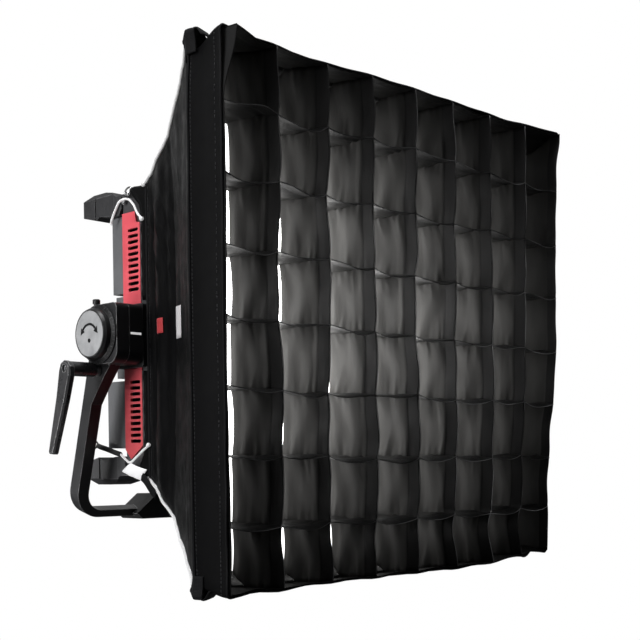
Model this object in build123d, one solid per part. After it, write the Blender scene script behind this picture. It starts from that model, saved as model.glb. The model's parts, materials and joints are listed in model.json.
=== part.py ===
from build123d import *
import math
import os

# Soft box on an LED panel head, carried by a tilting yoke.
# Frame: +Z up, the light faces -Y, X runs across and left is -X. The origin is on the spigot's
# axis, at the shoulder that seats on a stand. Millimetres. Widths (_W) and heights (_H) of the
# head, hubs and soft box are half sizes.

# ---------------------------------------------------------------- driving dimensions
TILT_Y, TILT_Z = -85.0, 244.5          # tilt axis, along X
LEAN = 15.7                            # slope of the arms, whose tops lie forward, degrees
CLAMP_Y, CLAMP_Z = -67.0, 200.0        # clamp screw axis, along X
GAP = 0.2                              # clearance between neighbouring pieces

# head
HEAD_W, HEAD_H, HEAD_Z = 200.0, 184.0, 248.0
HEAD_FRONT = -119.0                    # front of the bezel
FRAME_F, FRAME_B = -106.0, -66.0       # head frame, front and back edges
WALL = 4.0
PLATE_F, PLATE_B = -105.5, -68.0       # side plate, front and back edges
PLATE_T = 3.5
BLOCK_OUT = HEAD_W + 11                # outer face of the pivot block
SHAFT_R = 10.0

# yoke; the arms and crossbar are drawn upright about the tilt axis, then leaned
ARM_OUT = 245.0                        # arm outer face
ARM_T = 17.0                           # arm thickness, across X
ARM_IN = ARM_OUT - ARM_T
ARM_W = 20.0                           # full arm width, front to back
ARM_OFF = 19.5                         # arm centre line behind the tilt axis
ARM_F, ARM_B = ARM_OFF - ARM_W / 2, ARM_OFF + ARM_W / 2
BAR_DROP = 247.0                       # crossbar centre below the tilt axis
BAR_T = 10.0                           # crossbar height
BAR_LOW, BAR_HIGH = -BAR_DROP - BAR_T / 2, -BAR_DROP + BAR_T / 2
BEND_R, BEND_IN_R = 38.0, 26.0         # outer and inner bend radius
HUB_H = 38.5                           # half height of the hub block
HUB_IN = 214.4                         # inner face of the hub housing
HUB_SEAM = 236.0                       # seam between the hub block and its housing
HUB_OUT = 256.0                        # outer face of the hub block
BUSH_R = 15.0
BASE_BOLT_X, BASE_BOLT_Y = 60, 4.0
BASE_HOLE_R = 4.2

# spigot
SPIGOT_R, SPIGOT_L = 14.3, 64.0
NECK_R, NECK_TOP = 10.0, 30            # upper part, through the crossbar and base block
SOCKET_R, SOCKET_L = 8.05, 50.0        # socket in the lower end

# soft box
BOX_W, BOX_H = 320.0, 308.0            # front
BOX_Z = 237.0                          # height of the front's centre
FRONT_Y = -404.0                       # front plane of the grid
SKIN_F = FRONT_Y + 3.0
CELLS = 8
GRID_D = 70.0                          # depth of the grid's strips
GRID_T = 1.6
BAND_B = -347.0                        # back edge of the straight side band
SKIN_T = 1.6
TAPER_B = -126.0                       # back end of the taper, at the head
REAR_W, REAR_H = 208.5, 192.5          # opening at the head

SIDES = ((-1, "left"), (1, "right"))
CORNERS = [(side, end) for side in (-1, 1) for end in (-1, 1)]

os.makedirs("parts", exist_ok=True)


# ---------------------------------------------------------------- helpers
def box(x0, x1, y0, y1, z0, z1):
    size = Box(abs(x1 - x0), abs(y1 - y0), abs(z1 - z0))
    return Pos((x0 + x1) / 2, (y0 + y1) / 2, (z0 + z1) / 2) * size


def cyl_x(side, r, x0, x1, y, z):
    # x0 and x1 are distances out from the middle, on the given side (-1 or 1)
    return Pos(side * (x0 + x1) / 2, y, z) * Rot(0, 90, 0) * Cylinder(r, abs(x1 - x0))


def tilt_cyl(side, r, x0, x1):
    return cyl_x(side, r, x0, x1, TILT_Y, TILT_Z)


def tilt_cone(side, r0, r1, x0, x1):
    plane = Plane(origin=(side * x0, TILT_Y, TILT_Z), z_dir=(side, 0, 0))
    return plane * Pos(0, 0, (x1 - x0) / 2) * Cone(r0, r1, x1 - x0)


def clamp_cyl(side, r, x0, x1):
    return cyl_x(side, r, x0, x1, CLAMP_Y, CLAMP_Z)


def cyl_y(r, y0, y1, x, z):
    return Pos(x, (y0 + y1) / 2, z) * Rot(90, 0, 0) * Cylinder(r, abs(y1 - y0))


def cyl_z(r, z0, z1, x, y):
    return Pos(x, y, (z0 + z1) / 2) * Cylinder(r, abs(z1 - z0))


def prism_x(points, x0, x1):
    # closed outline in (y, z), extruded along X
    plane = Plane(origin=(min(x0, x1), 0, 0), x_dir=(0, 1, 0), z_dir=(1, 0, 0))
    return extrude(plane * make_face(Polyline(*points, close=True)), abs(x1 - x0))


def prism_y(points, y0, y1):
    # closed outline in (x, z), extruded along Y
    plane = Plane(origin=(0, max(y0, y1), 0), x_dir=(1, 0, 0), z_dir=(0, -1, 0))
    return extrude(plane * make_face(Polyline(*points, close=True)), abs(y1 - y0))


def rod(start, end, r):
    along = Vector(*end) - Vector(*start)
    return Plane(origin=start, z_dir=along) * Pos(0, 0, along.length / 2) * Cylinder(r, along.length)


def ring(w, h, t, y0, y1):
    # rectangular ring round the head's centre, t wide
    outer = box(-w, w, y0, y1, HEAD_Z - h, HEAD_Z + h)
    return outer - box(-w + t, w - t, y0 - 1, y1 + 1, HEAD_Z - h + t, HEAD_Z + h - t)


def circles(shape, test):
    return shape.edges().filter_by(GeomType.CIRCLE).filter_by(test)


def largest(shape):
    return max(shape.solids(), key=lambda solid: solid.volume)


def lean(shape):
    # from the yoke's own plane, with the tilt axis at its origin, to the leaning place
    return Pos(0, TILT_Y, TILT_Z) * Rot(LEAN, 0, 0) * shape


def save(name, shape):
    if isinstance(shape, (list, tuple)):
        shape = Compound(children=[solid for item in shape for solid in item.solids()])
    export_step(shape, "parts/%s.step" % name)


# ================================================================= yoke
BUTTON_X, BUTTON_Y = -249.0, TILT_Y + 14


def crossbar_and_arms():
    low, high = BAR_LOW, BAR_HIGH
    outline = [(-ARM_OUT, 0), (-ARM_OUT, low), (ARM_OUT, low), (ARM_OUT, 0),
               (ARM_IN, 0), (ARM_IN, high), (-ARM_IN, high), (-ARM_IN, 0)]
    bar = prism_y(outline, ARM_F, ARM_B)
    bar = fillet([e for e in bar.edges().filter_by(Axis.Y) if e.center().Z < low + 1], BEND_R)
    bends = [e for e in bar.edges().filter_by(Axis.Y)
             if abs(e.center().Z - high) < 0.5 and abs(abs(e.center().X) - ARM_IN) < 0.5]
    return fillet(bends, BEND_IN_R)


def arm_plate(side):
    # hub disc, clamp boss and the web that joins them to the arm
    cos, sin = math.cos(math.radians(LEAN)), math.sin(math.radians(LEAN))
    dy, dz = CLAMP_Y - TILT_Y, CLAMP_Z - TILT_Z
    y, z = dy * cos + dz * sin, -dy * sin + dz * cos
    hub = cyl_x(side, 30.0, ARM_IN, ARM_OUT, 0, 0)
    boss = cyl_x(side, 15, ARM_IN, ARM_OUT, y, z)
    web = [(-20, -32), (ARM_B, -18), (ARM_B, -95), (ARM_F, -95), (y - 13, z - 8)]
    return hub + boss + prism_x(web, side * ARM_IN, side * ARM_OUT)


def hub_block(side, x0, x1, h=HUB_H):
    # upright; nearly half round behind, two rounded corners in front
    block = box(side * x0, side * x1, TILT_Y - h, TILT_Y + h, TILT_Z - h, TILT_Z + h)
    back = block.edges().filter_by(Axis.X).filter_by(lambda e: e.center().Y > TILT_Y)
    block = fillet(back, h - 1.0)
    front = block.edges().filter_by(Axis.X).filter_by(lambda e: e.center().Y < TILT_Y - h + 0.1)
    block = fillet(front.filter_by(lambda e: e.center().Z > TILT_Z + h - 0.1), 7.0)
    low = block.edges().filter_by(Axis.X).filter_by(
        lambda e: e.center().Y < TILT_Y - h + 0.1 and e.center().Z < TILT_Z - h + 0.1)
    return fillet(low, 17.0)


def base_holes(shape):
    for side in (-1, 1):
        shape -= cyl_z(BASE_HOLE_R, -20, 40, side * BASE_BOLT_X, BASE_BOLT_Y)
    return shape


def yoke_frame():
    yoke = crossbar_and_arms()
    for side in (-1, 1):
        yoke += arm_plate(side)
    yoke = lean(yoke)
    for side in (-1, 1):
        yoke -= hub_block(side, ARM_IN - 1, HUB_SEAM, HUB_H + GAP)
        yoke += hub_block(side, HUB_SEAM, HUB_OUT)
        # room for the clamp screw's collar and the lever's barrel
        yoke -= clamp_cyl(side, 11.5, ARM_OUT, HUB_OUT + 1)
    for side in (-1, 1):
        yoke -= tilt_cyl(side, BUSH_R, ARM_IN - 5, HUB_OUT + 5)
    yoke -= clamp_cyl(-1, 6.05, ARM_IN - 5, ARM_OUT + 5)
    yoke = base_holes(yoke)
    yoke -= cyl_z(NECK_R, -5, NECK_TOP, 0, 0)
    # bore for the button's stem, down into the top of the left hub
    return yoke - cyl_z(3.55, TILT_Z + 20, TILT_Z + 60, BUTTON_X, BUTTON_Y)


def base_block():
    # tapered upwards seen from the front, with a slot for the crossbar
    block = prism_y([(-114, 35), (114, 35), (150, 8), (140, 0), (-140, 0), (-150, 8)], -20, 27)
    slot = [(-260, BAR_LOW), (260, BAR_LOW), (260, BAR_HIGH), (-260, BAR_HIGH)]
    block -= lean(prism_y(slot, ARM_F, ARM_B))
    for side in (-1, 1):
        block -= cyl_z(BASE_HOLE_R, -20, 40, side * BASE_BOLT_X, BASE_BOLT_Y)
        block -= cyl_z(7.5, -1, 4.0, side * BASE_BOLT_X, BASE_BOLT_Y)
    return block - cyl_z(NECK_R, -1, NECK_TOP, 0, 0)


def spigot():
    stud = cyl_z(SPIGOT_R, -SPIGOT_L, 0, 0, 0)
    stud -= cyl_z(SOCKET_R, -SPIGOT_L - 1, -SPIGOT_L + SOCKET_L, 0, 0)
    rim = circles(stud, lambda e: abs(e.center().Z + SPIGOT_L) < 0.1 and e.radius > 12)
    return chamfer(rim, 1.5) + cyl_z(NECK_R, 0, NECK_TOP, 0, 0)


def base_screw(x, y=BASE_BOLT_Y):
    return (cyl_z(7.0, 0.2, 4.0, x, y) + cyl_z(4.1, 4.0, 32, x, y)) - cyl_z(3.0, -1, 2.6, x, y)


save("yoke_frame", yoke_frame())
save("yoke_base_block", base_block())
save("spigot", spigot())
save("base_screws", [base_screw(side * BASE_BOLT_X) for side in (-1, 1)])

# hubs, outwards: housing between the head and the arm, then bevelled ring and cap
BEZEL_OUT = 261
CAP_OUT = 271
for side, label in SIDES:
    housing = hub_block(side, HUB_IN, HUB_SEAM - GAP)
    housing -= tilt_cyl(side, 18.0, HUB_IN - 1, HUB_SEAM + 1)
    housing -= clamp_cyl(side, 7.5, HUB_IN - 1, HUB_SEAM + 1)
    save("hub_housing_" + label, housing)
    cap = tilt_cyl(side, 33.0, BEZEL_OUT, CAP_OUT - 4)
    save("hub_cap_" + label, cap + tilt_cone(side, 33.0, 31.0, CAP_OUT - 4, CAP_OUT))
save("hub_bezels", [tilt_cyl(side, 38.2, HUB_OUT, BEZEL_OUT - 3)
                    + tilt_cone(side, 38.2, 34.0, BEZEL_OUT - 3, BEZEL_OUT)
                    - tilt_cyl(side, 20, HUB_OUT - 1, BEZEL_OUT + 1)
                    - clamp_cyl(side, 11.0, HUB_OUT - 1, BEZEL_OUT + 1) for side in (-1, 1)])
save("pivot_bushes", [tilt_cyl(side, BUSH_R, HUB_SEAM, HUB_OUT)
                      - tilt_cyl(side, SHAFT_R + 0.05, HUB_SEAM - 1, HUB_OUT + 1)
                      for side in (-1, 1)])

# button on top of the left hub
BUTTON_TOP = TILT_Z + 47
button = cyl_z(3.5, TILT_Z + 24, TILT_Z + 42, BUTTON_X, BUTTON_Y)
button += cyl_z(5.0, BUTTON_TOP - 6, BUTTON_TOP, BUTTON_X, BUTTON_Y)
save("hub_button", chamfer(circles(button, lambda e: abs(e.center().Z - BUTTON_TOP) < 0.1), 1.0))

# clamp screw on the left arm, with a collar, and its lever
SCREW_R = 6.0
COLLAR_IN, COLLAR_OUT = 246.0, 252.0
LEVER_OUT = 298
GRIP = [  # lever outline (y, z)
    (-78, 190), (-78, 202), (-73, 208), (-65, 210.5), (-58, 207.5), (-54, 198),
    (-47, 165), (-27, 94), (-28, 91), (-37, 90), (-39, 92), (-67, 159),
]
save("clamp_screw", clamp_cyl(-1, SCREW_R, ARM_IN - 4, COLLAR_IN)
     + clamp_cyl(-1, 7.8, COLLAR_IN, COLLAR_OUT) + clamp_cyl(-1, SCREW_R, COLLAR_OUT, 276))
grip = prism_x(GRIP, -289.5, -LEVER_OUT)
grip = chamfer(grip.edges().filter_by(lambda e: abs(e.center().X + LEVER_OUT) < 0.01), 2.2)
lever = clamp_cyl(-1, 9.5, COLLAR_OUT + 0.5, 294) + grip
lever = lever - clamp_cyl(-1, SCREW_R + 0.1, 250, 282.5) - clamp_cyl(-1, 5.0, 290.0, 300)
save("lever_handle", largest(lever))
save("lever_cap_screw", clamp_cyl(-1, 4.9, 290.0, 295.0) - clamp_cyl(-1, 2.4, 292.0, 296))

# ================================================================= head
HEAD_LOW, HEAD_TOP = HEAD_Z - HEAD_H, HEAD_Z + HEAD_H


def head_frame():
    frame = ring(HEAD_W, HEAD_H, WALL, FRAME_F, FRAME_B)
    frame += (box(-HEAD_W, HEAD_W, FRAME_B - 4, FRAME_B, HEAD_LOW, HEAD_TOP)
              - box(-170, 170, FRAME_B - 5, FRAME_B + 1, HEAD_Z - 160, HEAD_Z + 160))
    for side in (-1, 1):
        # air windows behind the side plates' vents
        for low, high in ((55, 148), (-144, -50)):
            frame -= box(side * (HEAD_W - 6), side * (HEAD_W + 1), FRAME_F + 5, FRAME_B - 7,
                         TILT_Z + low, TILT_Z + high)
        frame -= tilt_cyl(side, SHAFT_R, HEAD_W - 6, HEAD_W + 1)
    return frame


def front_bezel():
    # the lip round the light's window, with a groove for it and notches at the pivots
    bezel = ring(HEAD_W + 3, HEAD_H + 2, 12.0, HEAD_FRONT, FRAME_F)
    corners = bezel.edges().filter_by(Axis.Y).sort_by(
        lambda e: -(e.center().X ** 2 + (e.center().Z - HEAD_Z) ** 2))[:4]
    bezel = chamfer(corners, 8.0)
    bezel -= ring(HEAD_W - 6, HEAD_H - 6, 6.0, -116.2, -112.8)
    for side in (-1, 1):
        bezel -= box(side * 186, side * 206, FRAME_F - 1.2, FRAME_F + 1, TILT_Z - 46, TILT_Z + 46)
    return bezel


save("head_frame", head_frame())
save("front_bezel", front_bezel())
save("light_panel_window", box(-HEAD_W + 6.2, HEAD_W - 6.2, -116.0, -113.0,
                               HEAD_LOW + 6.2, HEAD_TOP - 6.2))

# vented side plates: two banks of round-ended slots
SLOTS, SLOT_PITCH, SLOT_R = 11, 7.8, 2.3
SLOT_TOPS = (TILT_Z + 140.5, TILT_Z - 59.5)
SLOT_F, SLOT_B = -99.5, -82.0
PLATE = [  # outline (y, z)
    (PLATE_B, 409), (-95.0, 409), (-97.0, 395), (PLATE_F, 393),
    (PLATE_F, 101), (-80.0, 83), (PLATE_B, 96),
]


def vent_slot(side, z):
    x0, x1 = HEAD_W - 1, HEAD_W + 5
    return (box(side * x0, side * x1, SLOT_F, SLOT_B, z - SLOT_R, z + SLOT_R)
            + cyl_x(side, SLOT_R, x0, x1, SLOT_F, z) + cyl_x(side, SLOT_R, x0, x1, SLOT_B, z))


for side, label in SIDES:
    plate = prism_x(PLATE, side * HEAD_W, side * (HEAD_W + PLATE_T))
    plate -= [vent_slot(side, top - SLOT_PITCH * k) for k in range(SLOTS) for top in SLOT_TOPS]
    plate -= tilt_cyl(side, SHAFT_R, HEAD_W - 6, HEAD_W + 6)
    save("side_plate_" + label, plate)
    block = box(side * (HEAD_W + PLATE_T), side * BLOCK_OUT, -119.0, -62.0,
                TILT_Z - 41.5, TILT_Z + 41.5)
    block = fillet(block.edges().filter_by(Axis.X), 5.0)
    save("pivot_block_" + label, block - tilt_cyl(side, SHAFT_R, HEAD_W - 6, HEAD_W + 16))
save("pivot_shafts", [tilt_cyl(side, SHAFT_R, 192, 250)
                      + tilt_cyl(side, 13.5, 191, HEAD_W - WALL) for side in (-1, 1)])
save("friction_discs", [tilt_cyl(side, 30.0, BLOCK_OUT, HUB_IN - GAP)
                        - tilt_cyl(side, SHAFT_R, 205, 220) for side in (-1, 1)])

# corner bumpers: bars over the head's corners, ending in feet at the back
BUMPER = [  # outline (y, z outwards from the head's centre)
    (20, 168), (20, 191), (8, 199), (-20, 199), (-40, 195), (-54, 187), (-104, 187),
    (-104, HEAD_H), (FRAME_B + 0.3, HEAD_H), (FRAME_B + 0.3, 169),
    (-60, 161), (-43, 161), (-13, 166), (-6, 161.5),
]


def bumper(side, end):
    def block(x0, x1, y0, y1, z0, z1):
        return box(side * x0, side * x1, y0, y1, HEAD_Z + end * z0, HEAD_Z + end * z1)

    outline = [(y, HEAD_Z + end * z) for y, z in BUMPER]
    bar = prism_x(outline if end > 0 else outline[::-1], side * 160.0, side * 203.0)
    bar -= block(150, 178, -110, -57, 150, 210)
    # bevel along the outer corner
    bevel = [(side * x, HEAD_Z + end * z) for x, z in ((204, 201), (192, 201), (204, 189))]
    bar -= prism_y(bevel, -120, 70)
    # recesses in the foot's back face and the outer face
    bar -= block(172, 191, 16, 24, 171, 184)
    bar -= block(201.2, 206, -49, -6, 158, 191)
    return largest(bar)


for side, label in SIDES:
    for end, level in ((1, "top"), (-1, "bottom")):
        save("bumper_%s_%s" % (level, label), [bumper(side, end)])

# light engine: emitters on the front of a board, heat sink behind it
BOARD_F, BOARD_B = -99.0, -96.5
SINK_B = -91.0
EMITTER_PITCH, FIN_PITCH = 30, 15
save("led_board", box(-176, 176, BOARD_F, BOARD_B, HEAD_Z - 160, HEAD_Z + 160))
emitters = []
for i in range(12):
    for j in range(11):
        x = -165 + EMITTER_PITCH * i
        z = HEAD_Z - 150 + EMITTER_PITCH * j
        emitters.append(box(x - 3.5, x + 3.5, BOARD_F - 1.6, BOARD_F, z - 3.5, z + 3.5))
save("led_emitters", emitters)
sink = box(-168, 168, BOARD_B, SINK_B, HEAD_Z - 154, HEAD_Z + 154)
sink += [box(x - 1, x + 1, SINK_B - 0.5, -73.0, HEAD_Z - 150, HEAD_Z + 150)
         for x in [-165 + FIN_PITCH * i for i in range(23)]]
save("heat_sink", sink)

# fans, inside the upper rear cover
FAN_Z = TILT_Z + 108
FAN_X = (-70.0, 70.0)
FAN_W, FAN_HUB_R = 42, 13.0
FAN_F, FAN_B = -65.5, -45.5


def fan_housing(x):
    fan = box(x - FAN_W, x + FAN_W, FAN_F, FAN_B, FAN_Z - FAN_W, FAN_Z + FAN_W)
    fan -= cyl_y(39.5, -67, -45, x, FAN_Z)
    spider = cyl_y(FAN_HUB_R, -48.5, FAN_B, x, FAN_Z)
    for k in range(4):
        spider += Pos(x, -47.0, FAN_Z) * Rot(0, 45 + 90 * k, 0) * Pos(26.0, 0, 0) * Box(30, 3, 4)
    fan += spider
    return largest(fan - cyl_y(2.05, -50, -40, x, FAN_Z))


def fan_rotor(x, blades=7, pitch=35):
    rotor = cyl_y(FAN_HUB_R, -63.0, -49.0, x, FAN_Z) + cyl_y(2.0, -49.5, -46.0, x, FAN_Z)
    for k in range(blades):
        blade = Pos(25.0, 0, 0) * Rot(pitch, 0, 0) * Box(26, 1.8, 14)
        rotor += Pos(x, -56.0, FAN_Z) * Rot(0, 360 / blades * k, 0) * blade
    return largest(rotor & cyl_y(37.8, -64.5, -45.8, x, FAN_Z))


save("fan_housings", [fan_housing(x) for x in FAN_X])
for x, (side, label) in zip(FAN_X, SIDES):
    save("fan_rotor_" + label, [fan_rotor(x)])

# rear covers
UPPER_Y, MIDDLE_Y, PANEL_Y = -33.0, -38.0, -16.0    # back faces
PANEL_TOP, PANEL_LOW = TILT_Z - 56, TILT_Z - 146
PANEL_Z = (PANEL_TOP + PANEL_LOW) / 2


def tray(w, back, low, top, bevel, t=3.0):
    # a shell open at the front, with bevelled back edges
    outer = box(-w, w, FRAME_B, back, low, top)
    outer = chamfer(outer.edges().filter_by(lambda e: abs(e.center().Y - back) < 0.1), bevel)
    inner = box(-w + t, w - t, FRAME_B - 1, back - t, low + t, top - t)
    rim = inner.edges().filter_by(lambda e: abs(e.center().Y - (back - t)) < 0.1)
    return outer - chamfer(rim, bevel - 1.2)


upper = tray(196, UPPER_Y, TILT_Z + 61, TILT_Z + 163, 3.0)
for x in FAN_X:
    for k in range(9):
        z = FAN_Z - 34 + 8.5 * k
        upper -= box(x - 36, x + 36, UPPER_Y - 4, UPPER_Y + 1, z - 1.8, z + 1.8)
save("rear_cover_upper", upper)
save("rear_cover_middle", tray(195, MIDDLE_Y, TILT_Z - 52, TILT_Z + 57, 3.0))


# control panel: on the back of the deeper lower shell; y and z are taken from its centre
def panel_box(x0, x1, y0, y1, z0, z1):
    return box(x0, x1, PANEL_Y + y0, PANEL_Y + y1, PANEL_Z + z0, PANEL_Z + z1)


def panel_cyl(r, y0, y1, x, z):
    return cyl_y(r, PANEL_Y + y0, PANEL_Y + y1, x, PANEL_Z + z)


KNOBS = (("dimmer_knob", 84), ("menu_knob", 122))   # name, x
KNOB_Z, KNOB_OUT = 2, 13
BUTTON_XS = (-12.0, 8.0, 28.0, 48.0)
DATA_XS, DATA_Z = (3, 33), 14
INLET_X = -135


def control_housing():
    shell = tray(196, PANEL_Y, PANEL_LOW, PANEL_TOP, 4.0)
    shell -= panel_box(-112, -34, -4, 1, -20, 26)
    for name, x in KNOBS:
        shell -= panel_cyl(3.06, -5, 1, x, KNOB_Z)
    for x in BUTTON_XS:
        shell -= panel_box(x - 6.1, x + 6.1, -5, 1, -22.1, -13.9)
    shell -= panel_box(146, 166, -5, 1, -16, 12)
    shell -= panel_box(INLET_X - 15, INLET_X + 15, -5, 1, -12, 12)
    for x in DATA_XS:
        shell -= panel_cyl(8.0, -5, 1, x, DATA_Z)
    return shell


def knob(x):
    body = panel_cyl(3.0, -14, 2, x, KNOB_Z) + panel_cyl(13.0, 1, KNOB_OUT, x, KNOB_Z)
    rim = circles(body, lambda e: abs(e.center().Y - (PANEL_Y + KNOB_OUT)) < 0.1)
    body = chamfer(rim, 1.5)
    centre = Pos(x, PANEL_Y + 7, PANEL_Z + KNOB_Z)
    body -= [centre * Rot(0, 20 * j, 0) * Pos(13.4, 0, 0) * Box(1.2, 20, 1.4) for j in range(18)]
    # pointer groove
    return largest(body - panel_box(x - 0.8, x + 0.8, 12.2, 14, 6, 15))


def menu_button(x):
    button = fillet(panel_box(x - 6, x + 6, -3.3, 2.5, -22, -14).edges().filter_by(Axis.Y), 1.5)
    return button + panel_box(x - 7.5, x + 7.5, -6.5, -3.2, -23.5, -12.5)


def power_inlet():
    inlet = (panel_box(INLET_X - 14.8, INLET_X + 14.8, -15, 0.5, -11.8, 11.8)
             - panel_box(INLET_X - 11, INLET_X + 11, -12, 1, -8, 8))
    for dx, rise in ((-6, 0), (0, 3), (6, 0)):
        x = INLET_X + dx
        inlet += panel_box(x - 1, x + 1, -13, -3, -3 + rise, 2 + rise)
    return inlet


def data_socket(x, pins=5, pin_ring=3.5):
    socket = panel_cyl(7.9, -12, 1.5, x, DATA_Z) - panel_cyl(6.0, -9, 2, x, DATA_Z)
    for k in range(pins):
        turn = math.radians(72 * k + 18)
        socket += panel_cyl(0.8, -10, -2, x + pin_ring * math.cos(turn),
                            DATA_Z + pin_ring * math.sin(turn))
    return socket


save("control_housing", control_housing())
save("display_window", panel_box(-111.8, -34.2, -3.0, -0.6, -19.8, 25.8))
save("control_board", panel_box(-114, 174, -18.0, -16.5, -26, 28))
for name, x in KNOBS:
    save(name, [knob(x)])
for i, x in enumerate(BUTTON_XS):
    save("menu_button_%d" % (i + 1), menu_button(x))

# rocker, tipped with its upper end pressed in; outline (y, z) about its pivot
ROCKER = [(0.0, -12.5), (3.4, -12.8), (5.2, 0.0), (3.4, 12.8), (0.0, 12.5), (-3.0, 0.0)]
rocker = prism_x(ROCKER, 146.5, 165.5)
save("power_rocker", Pos(0, PANEL_Y - 3.0, PANEL_Z - 2.0) * Rot(6, 0, 0) * rocker)
save("power_inlet", power_inlet())
save("data_sockets", [data_socket(x) for x in DATA_XS])

supply = box(-160, 150, -64.0, -40.0, PANEL_LOW + 14, PANEL_TOP - 14)
save("power_supply", fillet(supply.edges().filter_by(Axis.Y), 3.0))
driver = box(-150, 150, -64.0, -62.4, TILT_Z - 36, TILT_Z + 44)
driver += [box(x - 12, x + 12, -62.5, -49.0, TILT_Z - 16, TILT_Z + 22)
           for x in (-110, -60, 0, 55, 105)]
save("driver_board", driver)


# screw heads on the bumpers, pivot blocks and rear covers
def side_screw(side, r, socket_r, x, height, socket_at, y, z):
    head = cyl_x(side, r, x, x + height, y, z)
    return head - cyl_x(side, socket_r, x + socket_at, x + height + socket_at + 0.6, y, z)


screws = []
for side in (-1, 1):
    for end in (-1, 1):
        z = HEAD_Z + end * 176
        screws.append(cyl_x(side, 3.2, 203.0, 204.6, -72.0, z)
                      - cyl_x(side, 1.4, 203.8, 206, -72.0, z))
        z = TILT_Z + end * 17
        screws.append(cyl_x(side, 3.4, BLOCK_OUT, BLOCK_OUT + 2, -115.5, z)
                      - cyl_x(side, 1.5, BLOCK_OUT + 1, BLOCK_OUT + 4, -115.5, z))
    for y, dz in ((UPPER_Y, 150), (UPPER_Y, 76), (PANEL_Y, -73), (PANEL_Y, -129)):
        screws.append(cyl_y(3.0, y, y + 1.5, side * 178, TILT_Z + dz)
                      - cyl_y(1.3, y + 0.7, y + 2, side * 178, TILT_Z + dz))
save("housing_screws", screws)


# ================================================================= soft box
def front_rect(w, h, y, z):
    plane = Plane(origin=(0, y, z), x_dir=(1, 0, 0), z_dir=(0, -1, 0))
    return (plane * Rectangle(2 * w, 2 * h)).faces()[0]


def skin_body(front, inset):
    # straight band, then a taper to the collar
    w, h = BOX_W - inset, BOX_H - inset
    band_end = front_rect(w, h, BAND_B, BOX_Z)
    rear = front_rect(REAR_W - inset, REAR_H - inset, TAPER_B, HEAD_Z)
    return (loft([front_rect(w, h, front, BOX_Z), band_end], ruled=True)
            + loft([band_end, rear], ruled=True))


def skin_inner(y):
    # the skin's inner half sizes and centre height at a depth in the taper
    t = (y - BAND_B) / (TAPER_B - BAND_B)
    return (BOX_W - SKIN_T + (REAR_W - BOX_W) * t, BOX_H - SKIN_T + (REAR_H - BOX_H) * t,
            BOX_Z + (HEAD_Z - BOX_Z) * t)


def sheet(y0, y1, at, margin):
    # a panel across the soft box, sized to the skin at one depth
    w, h, z = skin_inner(at)
    return box(-w + margin, w - margin, y0, y1, z - h + margin, z + h - margin)


# skin, open at both ends
cavity = skin_body(SKIN_F - 1, SKIN_T)
cavity += box(-REAR_W + SKIN_T, REAR_W - SKIN_T, TAPER_B - 1, TAPER_B + 5,
              HEAD_Z - REAR_H + SKIN_T, HEAD_Z + REAR_H - SKIN_T)
save("softbox_skin", skin_body(SKIN_F, 0) - cavity)

# collar: fills the gap between the skin's rear edge and the bezel, with a lip round the bezel
collar = box(-REAR_W, REAR_W, TAPER_B + GAP, HEAD_FRONT - GAP, HEAD_Z - REAR_H, HEAD_Z + REAR_H)
collar -= box(-HEAD_W + 12, HEAD_W - 12, TAPER_B - 1, HEAD_FRONT + 1,
              HEAD_LOW + 12, HEAD_TOP - 12)
lip = ring(REAR_W, REAR_H, 4.0, HEAD_FRONT - 0.5, FRAME_F + 1)
for side in (-1, 1):
    lip -= box(side * 200, side * 215, -123.0, -100, TILT_Z - 44, TILT_Z + 44)
save("softbox_collar", collar + lip)

# rods along the taper's corners, and angle pockets just ahead of their front ends
ROD_R = 2.6
rods, pockets = [], []
for side, end in CORNERS:
    rear = (side * (REAR_W + ROD_R), TAPER_B + 3, HEAD_Z + end * (REAR_H + ROD_R))
    front = (side * (BOX_W + ROD_R), BAND_B + 0.5, BOX_Z + end * (BOX_H + ROD_R))
    rods.append(rod(rear, front, ROD_R) + Pos(*front) * Sphere(ROD_R))
    pocket = box(side * (BOX_W - 30), side * (BOX_W + 2.4), FRONT_Y + 26, BAND_B - 3,
                 BOX_Z + end * (BOX_H - 26), BOX_Z + end * (BOX_H + 2.4))
    pocket -= box(side * (BOX_W - 40), side * (BOX_W + 0.2), FRONT_Y + 20, BAND_B + 12,
                  BOX_Z + end * (BOX_H - 40), BOX_Z + end * (BOX_H + 0.2))
    pockets.append(largest(pocket))
save("corner_rods", rods)
save("corner_pockets", pockets)

DIFFUSER_Y = FRONT_Y + GRID_D + 4.0
save("inner_baffle", sheet(-241.0, -240.0, at=-240.0, margin=3))
save("front_diffuser", sheet(DIFFUSER_Y, DIFFUSER_Y + 1.2, at=DIFFUSER_Y + 1.2, margin=1))


def egg_crate():
    # strips and a border in one piece, trimmed to the skin behind the band
    w, h = BOX_W - 2.0, BOX_H - 2.0
    cell_w, cell_h = 2 * w / CELLS, 2 * h / CELLS
    back = FRONT_Y + GRID_D
    holes = []
    for i in range(CELLS):
        for j in range(CELLS):
            x = -w + cell_w * i + GRID_T / 2
            z = BOX_Z - h + cell_h * j + GRID_T / 2
            holes.append(box(x, x + cell_w - GRID_T, FRONT_Y - 1, back + 1,
                             z, z + cell_h - GRID_T))
    grid = box(-w, w, FRONT_Y, back, BOX_Z - h, BOX_Z + h) - holes
    trim = box(-BOX_W - 5, BOX_W + 5, BAND_B - 0.5, back + 1, BOX_Z - BOX_H - 5, BOX_Z + BOX_H + 5)
    trim -= sheet(BAND_B - 1, back + 2, at=back, margin=0.5)
    return largest(grid - trim)


save("grid", [egg_crate()])

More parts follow.
